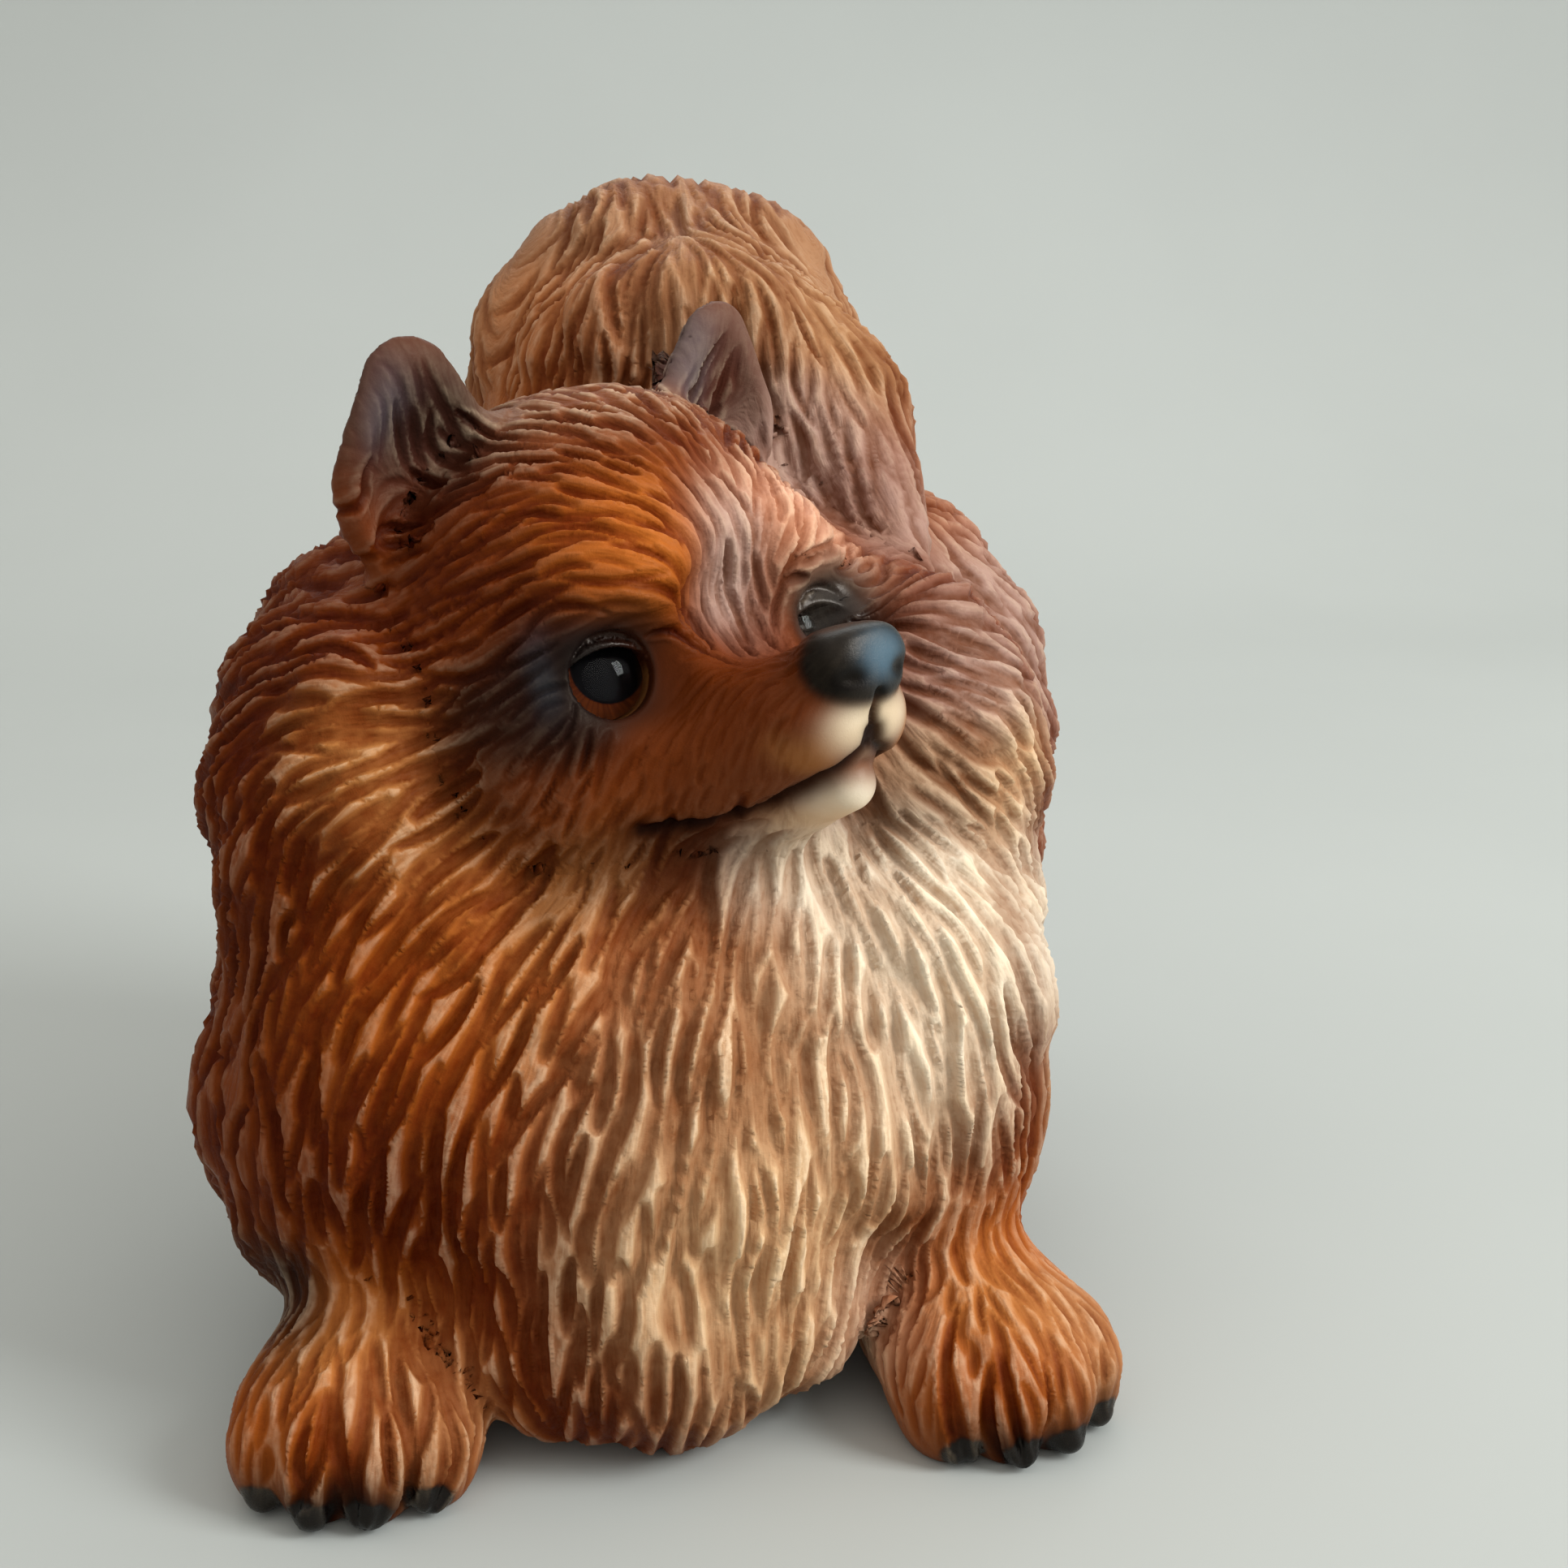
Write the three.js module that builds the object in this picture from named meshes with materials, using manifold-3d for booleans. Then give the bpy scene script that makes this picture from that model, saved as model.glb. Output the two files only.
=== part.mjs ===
// Hand-painted dog figurine: a fluffy toy-breed dog standing square, head turned to its left and
// raised, tail carried over the back. Cast resin pieces meet at flat seats with keyed pegs, and
// glass eyes with a painted disc behind them sit in round pockets under the modelled lids.
// Units are millimetres. +Z is up, the dog faces -Y and its left side is +X. The origin lies on
// the ground under the middle of the whole figurine.
import * as THREE from 'three';
import Module from 'manifold-3d';
import { mergeVertices } from 'three/addons/utils/BufferGeometryUtils.js';

// Fits between the castings
const JOINT_GAP = 0.3;
const PEG_FLAT = 0.6;

// Trunk: each mass is an ellipsoid, given by its centre and its three half widths
const CHEST = { at: [-2, -15, 38.5], half: [49.5, 27.5, 35] };
const BIB = { root: [-1, -24, 34], tip: [-2.5, -32, 15.4], rootRadius: 21, tipRadius: 12 };
const SHOULDER_RIGHT = { at: [-34, -6, 30], half: [19, 24, 26] };
const SHOULDER_LEFT = { at: [28, -8, 28], half: [17, 22, 24] };
const BARREL = { at: [2, 14, 52], half: [50, 42, 40] };
const RUMP = { at: [11, 38, 66], half: [50, 36, 43] };
const HAUNCH = { spread: 29, middle: 8, back: 36, height: 38, half: [21, 26, 27] };
const MANE = { at: [-6, 8, 77], half: [43, 27, 31] };
const RUFF_RIGHT = { at: [-32.5, -9, 68.5], half: [18.5, 22, 26.5] };
const RUFF_LEFT = { at: [31, -6, 72], half: [17, 18, 23] };
const BREAST = { at: [27, -18, 50], half: [18.5, 17.5, 18.5] };
const TRUNK_BLEND = 10;
const BREAST_BLEND = 3.5;

// Fur: pointed locks in staggered rows rise over the coat. The rows run round a parting, and the
// locks lie away from it.
const LOCKS = { width: 13, length: 22, rise: 1.8, fullest: 0.55, ending: 0.8, point: 0.45 };
const LOCK_ROWS = { stagger: 0.38, sway: 0.3 };
const COAT_PARTING = { middle: [0, 8, 58], towards: [0.08, -0.8, 0.6], radius: 50 };
const PLUME_PARTING = { middle: [-3, 6, 44], towards: [0.1, 0.25, 0.96], radius: 28 };

// Head, in its own frame: its origin is the middle of the skull, -Y runs to the nose. A limb has
// a round root and tip, and a shape off the middle has its twin on the other side.
const HEAD = { fromMane: [2.6, -13.1, 9.5], turn: 32.5, lift: 12, tilt: 4 };
const SKULL = { at: [0, 1, 3.2], half: [27.5, 25.5, 28.4] };
const CHEEK = { at: [14.5, -4, -10], half: [14.5, 17, 15] };
const BROW = { at: [10, -17.5, 8.5], half: [8.2, 5.6, 4.8] };
const STOP = { at: [0, -27, 4], half: [8.5, 6, 5.6] };
const MUZZLE = { root: [0, -15, -11.5], tip: [0, -36.5, -7.6], rootRadius: 11.5, tipRadius: 6.2 };
const LIP = { root: [8, -18, -13.5], tip: [3.1, -37, -9.8], rootRadius: 7.5, tipRadius: 4.6 };
const JAW = { root: [0, -16, -17], tip: [0, -36.4, -16.6], rootRadius: 8.5, tipRadius: 3.4 };
const NOSE = { at: [0, -41.4, -3.4], half: [4.9, 3.9, 3.9] };
const EYE_HOLLOW = { at: [15.5, -25, -0.8], half: [7, 6, 6.4] };
const HEAD_BLEND = 8;
const LIP_BLEND = 4;
const JAW_BLEND = 1.2;
const STOP_BLEND = 5;
const HOLLOW_BLEND = 3;
const NOSE_BLEND = 1.5;
const NECK_SEAT = { depth: 16, slope: 53, pegRadius: 8, pegLength: 9 };

// Eye: a glass dome with a flat back on a painted disc, ringed by modelled lids
const EYE = { front: [14.9, -19.7, -0.8], facing: 15, raised: 6 };
const GLASS = { radius: 4.6, domeRadius: 4.9, skirt: 1.2 };
const LID = { radius: 6.1, setBack: 5.4 };
const LID_BLEND = 2;
const IRIS_THICKNESS = 0.8;
const EYE_SIDES = 16;

// Ear: a flattened cone with a hollow front
const EAR = { root: [20, 1.2, 22], tip: [21.2, -2, 32.9], rootRadius: 11, tipRadius: 5.7 };
const EAR_FLATNESS = 0.4;
const EAR_FACING = 4;
const EAR_RIM = 2.1;
const EAR_HOLLOW = 3.4;
const EAR_BLEND = 1;
const EAR_SEAT = { depth: 3.5, slope: 20, pegRadius: 2, pegLength: 4 };

// Tail: a plume lying over the back, with one long lock down the dog's left side
// Every place is measured from the middle of the rump
const PLUME = { at: [-3, 12, 46], half: [28.5, 18.5, 31], lean: -10 };
const ARCH = { at: [-1, -2, 41], half: [23.5, 14, 27], lean: 14 };
const LONG_LOCK = { root: [17, -8, 42], tip: [23, -31, 27.5], rootRadius: 11, tipRadius: 2.4 };
const TAIL_ROOT = { root: [-2, 24, 30], tip: [-3, 14, 46], rootRadius: 14, tipRadius: 19 };
const TAIL_SEAT = { height: 24, pegRadius: 6, pegLength: 8 };
const TAIL_BLEND = 10;

// Legs, each in its own frame: the origin is under the paw's middle, -Y runs to the toes
const FORELEG_RIGHT = { at: [-35, -33.5], turn: -9, elbow: [-1, 14, 34], size: 1 };
const FORELEG_LEFT = { at: [36.5, -32], turn: 17, elbow: [0, 13, 32], size: 1 };
const HINDLEG_RIGHT = { at: [-22, 32], turn: -6, elbow: [0, 11, 34], size: 0.96 };
const HINDLEG_LEFT = { at: [37, 32], turn: 8, elbow: [0, 11, 34], size: 0.96 };
const PAW = { at: [0, 1, 9.5], half: [13.4, 14.5, 11.2] };
const TOE = { spacing: 6, reach: -8.6, fall: 3.1, height: 7, half: [4.9, 7.2, 7.4] };
const CLAW = { reach: -5.4, height: 3.6, radius: 1.9 };
const TOE_PLACES = [-1.5, -0.5, 0.5, 1.5];
const PAW_BLEND = 7;
const FOOT_BLEND = 3;
const TOE_BLEND = 1;
const CLAW_BLEND = 0.8;
const ANKLE = { back: 13, height: 9, radius: 9.4 };
const ELBOW_RADIUS = 12;
const SOLE_CUT = 1.2;
const LEG_SEAT = { height: 27, pegRadius: 4, pegLength: 7 };

// Fineness of the modelled surfaces, and how far a facet may lie from them
const TRUNK_CELL = 3.4;
const HEAD_CELL = 3;
const FACE_CELL = 1.6;
const EAR_CELL = 1.5;
const TAIL_CELL = 3.4;
const LEG_CELL = 3;
const TOE_CELL = 1.8;
const BODY_TOLERANCE = 0.42;
const FACE_TOLERANCE = 0.2;
const EAR_TOLERANCE = 0.15;
const THINNING_ROUNDS = 8;
const SLIMMEST = 0.1;
const FACING_LEAST = 0.85;
const SLOPE_STEP = 0.05;
const CELL_MARGIN = 0.06;

const wasm = await Module();
wasm.setup();

// Fields: each is a function of a point that gives the signed distance to a surface
function mix(a, b, share) {
  return a + (b - a) * share;
}

function ellipsoid({ at, half, lean = 0 }) {
  const [cx, cy, cz] = at;
  const [a, b, c] = half;
  const cos = Math.cos(THREE.MathUtils.degToRad(lean));
  const sin = Math.sin(THREE.MathUtils.degToRad(lean));
  return (x, y, z) => {
    const px = x - cx;
    const py = (y - cy) * cos + (z - cz) * sin;
    const pz = (z - cz) * cos - (y - cy) * sin;
    const near = Math.hypot(px / a, py / b, pz / c);
    const slope = Math.hypot(px / (a * a), py / (b * b), pz / (c * c)) + 1e-9;
    return (near * (near - 1)) / slope;
  };
}

// A limb is two balls and the cone that touches both
function limb({ root, tip, rootRadius, tipRadius }) {
  const axis = tip.map((value, i) => value - root[i]);
  const span = Math.hypot(...axis);
  const [ux, uy, uz] = axis.map((value) => value / span);
  const sine = (rootRadius - tipRadius) / span;
  const cosine = Math.sqrt(1 - sine * sine);
  return (x, y, z) => {
    const px = x - root[0];
    const py = y - root[1];
    const pz = z - root[2];
    const along = px * ux + py * uy + pz * uz;
    const across = Math.hypot(px - along * ux, py - along * uy, pz - along * uz);
    const foot = along - (across * sine) / cosine;
    if (foot < 0) {
      return Math.hypot(across, along) - rootRadius;
    }
    if (foot > span) {
      return Math.hypot(across, along - span) - tipRadius;
    }
    return across * cosine + along * sine - rootRadius;
  };
}

function softMin(a, b, width) {
  const overlap = Math.max(width - Math.abs(a - b), 0) / width;
  return Math.min(a, b) - overlap * overlap * width * 0.25;
}

function blend(width, ...fields) {
  return (x, y, z) => {
    let distance = fields[0](x, y, z);
    for (let i = 1; i < fields.length; i += 1) {
      distance = softMin(distance, fields[i](x, y, z), width);
    }
    return distance;
  };
}

function carve(width, field, tool) {
  return (x, y, z) => -softMin(-field(x, y, z), tool(x, y, z), width);
}

function mirrored(field) {
  return (x, y, z) => field(Math.abs(x), y, z);
}

// How far the locks of fur stand out over a smooth coat
function locksFrom({ middle, towards, radius }) {
  const pole = new THREE.Vector3(...towards).normalize();
  const right = new THREE.Vector3(1, 0, 0).cross(pole).normalize();
  const up = pole.clone().cross(right);
  const spot = new THREE.Vector3();
  return (x, y, z) => {
    spot.set(x - middle[0], y - middle[1], z - middle[2]).normalize();
    const rows = (Math.acos(spot.dot(pole)) * radius) / LOCKS.length;
    const row = Math.floor(rows);
    const along = rows - row;
    const ring = 2 * Math.PI * radius * Math.sin(((row + 0.5) * LOCKS.length) / radius);
    const count = Math.max(1, Math.round(ring / LOCKS.width));
    const around = Math.atan2(spot.dot(up), spot.dot(right)) / (2 * Math.PI);
    const turn = around * count + row * LOCK_ROWS.stagger + LOCK_ROWS.sway * Math.sin(Math.PI * along);
    const across = 2 * Math.abs(turn - Math.floor(turn) - 0.5);
    const side = Math.max(0, 1 - (across / (1 - LOCKS.point * along * along)) ** 2);
    const risen = THREE.MathUtils.smoothstep(along, 0, LOCKS.fullest);
    const ended = THREE.MathUtils.smoothstep(along, LOCKS.ending, 1);
    return LOCKS.rise * side * risen * (1 - ended);
  };
}

function furred(field, parting) {
  const locks = locksFrom(parting);
  return (x, y, z) => field(x, y, z) - locks(x, y, z);
}

function fieldOf(shape) {
  return shape.root ? limb(shape) : ellipsoid(shape);
}

// The lowest and highest corner of a shape
function reachOf({ at, half, lean = 0, root, tip, rootRadius, tipRadius }) {
  if (root) {
    return {
      low: root.map((value, i) => Math.min(value - rootRadius, tip[i] - tipRadius)),
      high: root.map((value, i) => Math.max(value + rootRadius, tip[i] + tipRadius)),
    };
  }
  const cos = Math.cos(THREE.MathUtils.degToRad(lean));
  const sin = Math.sin(THREE.MathUtils.degToRad(lean));
  const reach = [half[0], Math.hypot(half[1] * cos, half[2] * sin), Math.hypot(half[1] * sin, half[2] * cos)];
  return { low: at.map((value, i) => value - reach[i]), high: at.map((value, i) => value + reach[i]) };
}

function twinOf(shape) {
  const flipped = ([x, y, z]) => [-x, y, z];
  if (shape.root) {
    return { ...shape, root: flipped(shape.root), tip: flipped(shape.tip) };
  }
  return { ...shape, at: flipped(shape.at) };
}

// Surfaces: a field becomes a closed mesh on a grid whose lines may lie closer where it is finer
const CORNERS = [0, 1, 2, 3, 4, 5, 6, 7].map((i) => [i & 1, (i >> 1) & 1, i >> 2]);
const EDGES = [];
for (let corner = 0; corner < 8; corner += 1) {
  for (const bit of [1, 2, 4]) {
    if (!(corner & bit)) {
      EDGES.push([corner, corner | bit]);
    }
  }
}

function isJoined(mask) {
  let reached = mask & -mask;
  for (let round = 0; round < 8; round += 1) {
    for (const [a, b] of EDGES) {
      const pair = (1 << a) | (1 << b);
      if ((mask & pair) === pair && reached & pair) {
        reached |= pair;
      }
    }
  }
  return reached === mask;
}

const FULL_CELL = 2 ** CORNERS.length - 1;
const ONE_SHEET = Array.from(
  { length: FULL_CELL + 1 },
  (_, mask) => isJoined(mask) && isJoined(FULL_CELL - mask),
);

function gridLines(low, high, cell, fineLow = high, fineHigh = high, fineCell = cell) {
  const lines = [];
  const stretch = (from, to, step) => {
    const count = Math.max(1, Math.round((to - from) / step));
    for (let i = 0; i < count; i += 1) {
      lines.push(mix(from, to, i / count));
    }
  };
  const first = Math.min(Math.max(fineLow, low), high);
  const last = Math.min(Math.max(fineHigh, first), high);
  if (first > low) {
    stretch(low, first, cell);
  }
  if (last > first) {
    stretch(first, last, fineCell);
  }
  if (high > last) {
    stretch(last, high, cell);
  }
  lines.push(high);
  return lines;
}

// Grid lines round some shapes with room for their blends, and closer together round the fine ones
function linesRound(shapes, blendWidth, cell, fineShapes = [], fineCell = cell) {
  const room = blendWidth / 2 + cell;
  const spanOf = (some, axis) => [
    Math.min(...some.map((shape) => reachOf(shape).low[axis])),
    Math.max(...some.map((shape) => reachOf(shape).high[axis])),
  ];
  return [0, 1, 2].map((axis) => {
    const [low, high] = spanOf(shapes, axis);
    if (fineShapes.length === 0) {
      return gridLines(low - room, high + room, cell);
    }
    const [fineLow, fineHigh] = spanOf(fineShapes, axis);
    return gridLines(low - room, high + room, cell, fineLow - fineCell, fineHigh + fineCell, fineCell);
  });
}

function surfaceOf(field, [xs, ys, zs]) {
  const [nx, ny, nz] = [xs.length, ys.length, zs.length];
  const at = (i, j, k) => i + nx * (j + ny * k);
  const offsets = CORNERS.map(([i, j, k]) => at(i, j, k));
  const values = new Float64Array(nx * ny * nz);
  for (let k = 0; k < nz; k += 1) {
    for (let j = 0; j < ny; j += 1) {
      for (let i = 0; i < nx; i += 1) {
        const onRim = i === 0 || j === 0 || k === 0 || i === nx - 1 || j === ny - 1 || k === nz - 1;
        const value = field(xs[i], ys[j], zs[k]);
        values[at(i, j, k)] = onRim ? Math.max(value, 0.1) : value;
      }
    }
  }
  const isInside = (place) => values[place] < 0;
  const maskAt = (start) => offsets.reduce((mask, o, c) => mask | (isInside(start + o) ? 1 << c : 0), 0);
  const forCells = (visit) => {
    for (let k = 0; k < nz - 1; k += 1) {
      for (let j = 0; j < ny - 1; j += 1) {
        for (let i = 0; i < nx - 1; i += 1) {
          visit(i, j, k, at(i, j, k));
        }
      }
    }
  };
  // A cell that two sheets of the surface would cross is filled at its shallowest outside corner
  let filled = 1;
  while (filled > 0) {
    filled = 0;
    forCells((i, j, k, start) => {
      if (!ONE_SHEET[maskAt(start)]) {
        const outside = offsets.filter((o) => values[start + o] >= 0);
        outside.sort((a, b) => values[start + a] - values[start + b]);
        values[start + outside[0]] = -1e-3;
        filled += 1;
      }
    });
  }
  const vertexOf = new Map();
  const positions = [];
  forCells((i, j, k, start) => {
    const mask = maskAt(start);
    if (mask === 0 || mask === FULL_CELL) {
      return;
    }
    const sum = [0, 0, 0];
    let crossings = 0;
    for (const [a, b] of EDGES) {
      if (((mask >> a) & 1) !== ((mask >> b) & 1)) {
        const va = values[start + offsets[a]];
        const share = va / (va - values[start + offsets[b]]);
        for (let axis = 0; axis < 3; axis += 1) {
          sum[axis] += mix(CORNERS[a][axis], CORNERS[b][axis], share);
        }
        crossings += 1;
      }
    }
    const low = [xs[i], ys[j], zs[k]];
    const size = [xs[i + 1] - xs[i], ys[j + 1] - ys[j], zs[k + 1] - zs[k]];
    const point = low.map((value, axis) => value + (size[axis] * sum[axis]) / crossings);
    vertexOf.set(start, positions.length / 3);
    positions.push(...settled(field, point, low, size));
  });
  const triangles = [];
  const steps = [1, nx, nx * ny];
  forCells((i, j, k, start) => {
    const place = [i, j, k];
    for (let axis = 0; axis < 3; axis += 1) {
      const u = (axis + 1) % 3;
      const v = (axis + 2) % 3;
      const inside = values[start] < 0;
      if (place[u] > 0 && place[v] > 0 && inside !== values[start + steps[axis]] < 0) {
        const ring = [start, start - steps[u], start - steps[u] - steps[v], start - steps[v]];
        const corners = ring.map((cell) => vertexOf.get(cell));
        if (!inside) {
          corners.reverse();
        }
        const [a, b, c, d] = corners;
        if (lengthBetween(positions, a, c) < lengthBetween(positions, b, d)) {
          triangles.push(a, b, c, a, c, d);
        } else {
          triangles.push(b, c, d, b, d, a);
        }
      }
    }
  });
  return { positions, triangles };
}

function lengthBetween(positions, a, b) {
  return Math.hypot(...[0, 1, 2].map((n) => positions[3 * a + n] - positions[3 * b + n]));
}

function slopeAt(field, [x, y, z]) {
  const e = SLOPE_STEP;
  const slope = [
    field(x + e, y, z) - field(x - e, y, z),
    field(x, y + e, z) - field(x, y - e, z),
    field(x, y, z + e) - field(x, y, z - e),
  ];
  return slope.map((value) => value / (2 * e));
}

// Moves a point onto the surface without leaving its cell
function settled(field, point, low, size) {
  let place = point;
  for (let round = 0; round < 3; round += 1) {
    const slope = slopeAt(field, place);
    const steepness = Math.max(0.25, slope[0] ** 2 + slope[1] ** 2 + slope[2] ** 2);
    const distance = field(...place);
    place = place.map((value, axis) => {
      const moved = value - (distance * slope[axis]) / steepness;
      const margin = CELL_MARGIN * size[axis];
      return Math.min(low[axis] + size[axis] - margin, Math.max(low[axis] + margin, moved));
    });
  }
  return place;
}

// Thins a surface: a vertex slides onto a neighbour wherever the new triangles still follow the
// field within a tolerance, so that the triangles that stay lie where the form bends
function thinned(surface, field, tolerance) {
  const points = [];
  for (let i = 0; i < surface.positions.length; i += 3) {
    points.push(surface.positions.slice(i, i + 3));
  }
  const facesOf = points.map(() => new Set());
  for (let i = 0; i < surface.triangles.length; i += 3) {
    const face = surface.triangles.slice(i, i + 3);
    face.forEach((vertex) => facesOf[vertex].add(face));
  }
  const neighbours = (vertex) => new Set([...facesOf[vertex]].flat().filter((other) => other !== vertex));
  for (let round = 0; round < THINNING_ROUNDS; round += 1) {
    const resting = new Set();
    for (let vertex = 0; vertex < points.length; vertex += 1) {
      if (facesOf[vertex].size > 0 && !resting.has(vertex)) {
        const near = neighbours(vertex);
        const target = bestTarget(vertex, near, points, facesOf, neighbours, field, tolerance);
        if (target !== null) {
          slide(vertex, target, facesOf);
          near.forEach((other) => resting.add(other));
        }
      }
    }
  }
  const numberOf = new Map();
  const positions = [];
  const triangles = [];
  facesOf.forEach((faces, vertex) => {
    if (faces.size > 0) {
      numberOf.set(vertex, numberOf.size);
      positions.push(...points[vertex]);
    }
  });
  facesOf.forEach((faces, vertex) => {
    for (const face of faces) {
      if (face[0] === vertex) {
        triangles.push(...face.map((corner) => numberOf.get(corner)));
      }
    }
  });
  return { positions, triangles };
}

// The neighbour that a vertex can slide onto with the shortest new edges, or null
function bestTarget(vertex, near, points, facesOf, neighbours, field, tolerance) {
  let best = null;
  let shortest = Infinity;
  for (const target of near) {
    const shared = [...neighbours(target)].filter((other) => near.has(other));
    if (shared.length === 2) {
      const faces = [...facesOf[vertex]].filter((face) => !face.includes(target));
      const moved = faces.map((face) => face.map((corner) => points[corner === vertex ? target : corner]));
      const length = moved.reduce((sum, corners) => sum + edgeSquares(corners), 0);
      if (length < shortest && moved.every((corners) => followsField(corners, field, tolerance))) {
        best = target;
        shortest = length;
      }
    }
  }
  return best;
}

function edgeSquares(corners) {
  return corners.reduce((sum, corner, i) => {
    const next = corners[(i + 1) % 3];
    return sum + (corner[0] - next[0]) ** 2 + (corner[1] - next[1]) ** 2 + (corner[2] - next[2]) ** 2;
  }, 0);
}

function followsField(corners, field, tolerance) {
  const [a, b, c] = corners.map((corner) => new THREE.Vector3(...corner));
  const middle = a.clone().add(b).add(c).divideScalar(3);
  const normal = b.clone().sub(a).cross(c.clone().sub(a));
  const twiceArea = normal.length();
  if (twiceArea < SLIMMEST * edgeSquares(corners)) {
    return false;
  }
  const slope = new THREE.Vector3(...slopeAt(field, middle.toArray())).normalize();
  if (normal.dot(slope) < FACING_LEAST * twiceArea) {
    return false;
  }
  const probes = [middle, a.clone().lerp(b, 0.5), b.clone().lerp(c, 0.5), c.clone().lerp(a, 0.5)];
  return probes.every((probe) => Math.abs(field(probe.x, probe.y, probe.z)) < tolerance);
}

function slide(vertex, target, facesOf) {
  for (const face of [...facesOf[vertex]]) {
    if (face.includes(target)) {
      face.forEach((corner) => facesOf[corner].delete(face));
    } else {
      face[face.indexOf(vertex)] = target;
      facesOf[target].add(face);
    }
  }
  facesOf[vertex].clear();
}

// The same surface with every vertex moved out by a clearance
function swollen(surface, field, clearance) {
  const positions = [...surface.positions];
  for (let i = 0; i < positions.length; i += 3) {
    const slope = slopeAt(field, positions.slice(i, i + 3));
    const steepness = Math.hypot(...slope) + 1e-9;
    for (let axis = 0; axis < 3; axis += 1) {
      positions[i + axis] += (clearance * slope[axis]) / steepness;
    }
  }
  return { positions, triangles: surface.triangles };
}

// Solids
function solidOf(surface) {
  const mesh = new wasm.Mesh({
    numProp: 3,
    vertProperties: new Float32Array(surface.positions),
    triVerts: new Uint32Array(surface.triangles),
  });
  return new wasm.Manifold(mesh);
}

function solidFrom(geometry, matrix = new THREE.Matrix4()) {
  const plain = geometry.clone().applyMatrix4(matrix);
  plain.deleteAttribute('normal');
  plain.deleteAttribute('uv');
  const merged = mergeVertices(plain, 1e-4);
  return solidOf({ positions: merged.attributes.position.array, triangles: merged.index.array });
}

function moved(solid, matrix) {
  const geometry = geometryOf(solid);
  return solidFrom(geometry, matrix);
}

function geometryOf(solid) {
  const mesh = solid.getMesh();
  const geometry = new THREE.BufferGeometry();
  const positions = new Float32Array(mesh.numVert * 3);
  for (let i = 0; i < mesh.numVert; i += 1) {
    positions.set(mesh.vertProperties.slice(i * mesh.numProp, i * mesh.numProp + 3), i * 3);
  }
  geometry.setAttribute('position', new THREE.BufferAttribute(positions, 3));
  geometry.setIndex(new THREE.BufferAttribute(new Uint32Array(mesh.triVerts), 1));
  return geometry;
}

// Keeps the largest of the bodies that a cut may leave
function largestBody(geometry) {
  const index = geometry.index.array;
  const leader = Array.from({ length: geometry.attributes.position.count }, (_, i) => i);
  const find = (i) => {
    let top = i;
    while (leader[top] !== top) {
      top = leader[top];
    }
    leader[i] = top;
    return top;
  };
  for (let i = 0; i < index.length; i += 3) {
    leader[find(index[i + 1])] = find(index[i]);
    leader[find(index[i + 2])] = find(index[i]);
  }
  const counts = new Map();
  for (let i = 0; i < index.length; i += 3) {
    const body = find(index[i]);
    counts.set(body, (counts.get(body) ?? 0) + 1);
  }
  const largest = [...counts].sort((a, b) => b[1] - a[1])[0][0];
  const kept = [];
  for (let i = 0; i < index.length; i += 3) {
    if (find(index[i]) === largest) {
      kept.push(index[i], index[i + 1], index[i + 2]);
    }
  }
  geometry.setIndex(kept);
  return geometry;
}

// A frame whose +Z runs along a direction from a point
function frameAlong(point, direction) {
  const upward = new THREE.Vector3(0, 0, 1);
  const turn = new THREE.Quaternion().setFromUnitVectors(upward, direction.clone().normalize());
  return new THREE.Matrix4().compose(point, turn, new THREE.Vector3(1, 1, 1));
}

// Everything beyond a seat, as a block to cut away
function beyondSeat(seat) {
  const size = 400;
  const block = new THREE.BoxGeometry(size, size, size).translate(0, 0, size / 2);
  return solidFrom(block, seat);
}

// A round peg with one flat, standing on a seat; it is rooted below the seat so that it fuses
function pegOn(seat, radius, length, clearance = 0) {
  const root = 2;
  const wide = radius + clearance;
  const flat = radius * PEG_FLAT + clearance;
  const half = Math.acos(flat / wide);
  const outline = new THREE.Shape();
  outline.absarc(0, 0, wide, half, Math.PI * 2 - half, false);
  outline.closePath();
  const peg = new THREE.ExtrudeGeometry(outline, {
    depth: length + clearance + root,
    bevelEnabled: false,
    curveSegments: 10,
  });
  return solidFrom(peg.translate(0, 0, -root), seat);
}

// A casting that ends at a flat seat with a peg, and the pocket that takes it with a clearance
function seatedCasting(field, lines, tolerance, seat, peg) {
  const surface = thinned(surfaceOf(field, lines), field, tolerance);
  const deeper = seat.clone().multiply(new THREE.Matrix4().makeTranslation(0, 0, JOINT_GAP));
  const casting = solidOf(surface).subtract(beyondSeat(seat)).add(pegOn(seat, peg.pegRadius, peg.pegLength));
  const pocket = solidOf(swollen(surface, field, JOINT_GAP))
    .subtract(beyondSeat(deeper))
    .add(pegOn(seat, peg.pegRadius, peg.pegLength, JOINT_GAP));
  return { casting, pocket };
}

const RESIN = { color: 0xa8622c, roughness: 0.5, metalness: 0 };
const GLASS_LOOK = { color: 0x1a0d05, roughness: 0.05, metalness: 0 };
const IRIS_LOOK = { color: 0x6b3410, roughness: 0.4, metalness: 0 };

function meshOf(name, geometry, look) {
  const mesh = new THREE.Mesh(geometry, new THREE.MeshStandardMaterial(look));
  mesh.name = name;
  return mesh;
}

function castingMesh(name, solid, look) {
  return meshOf(name, largestBody(geometryOf(solid)), look);
}

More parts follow.
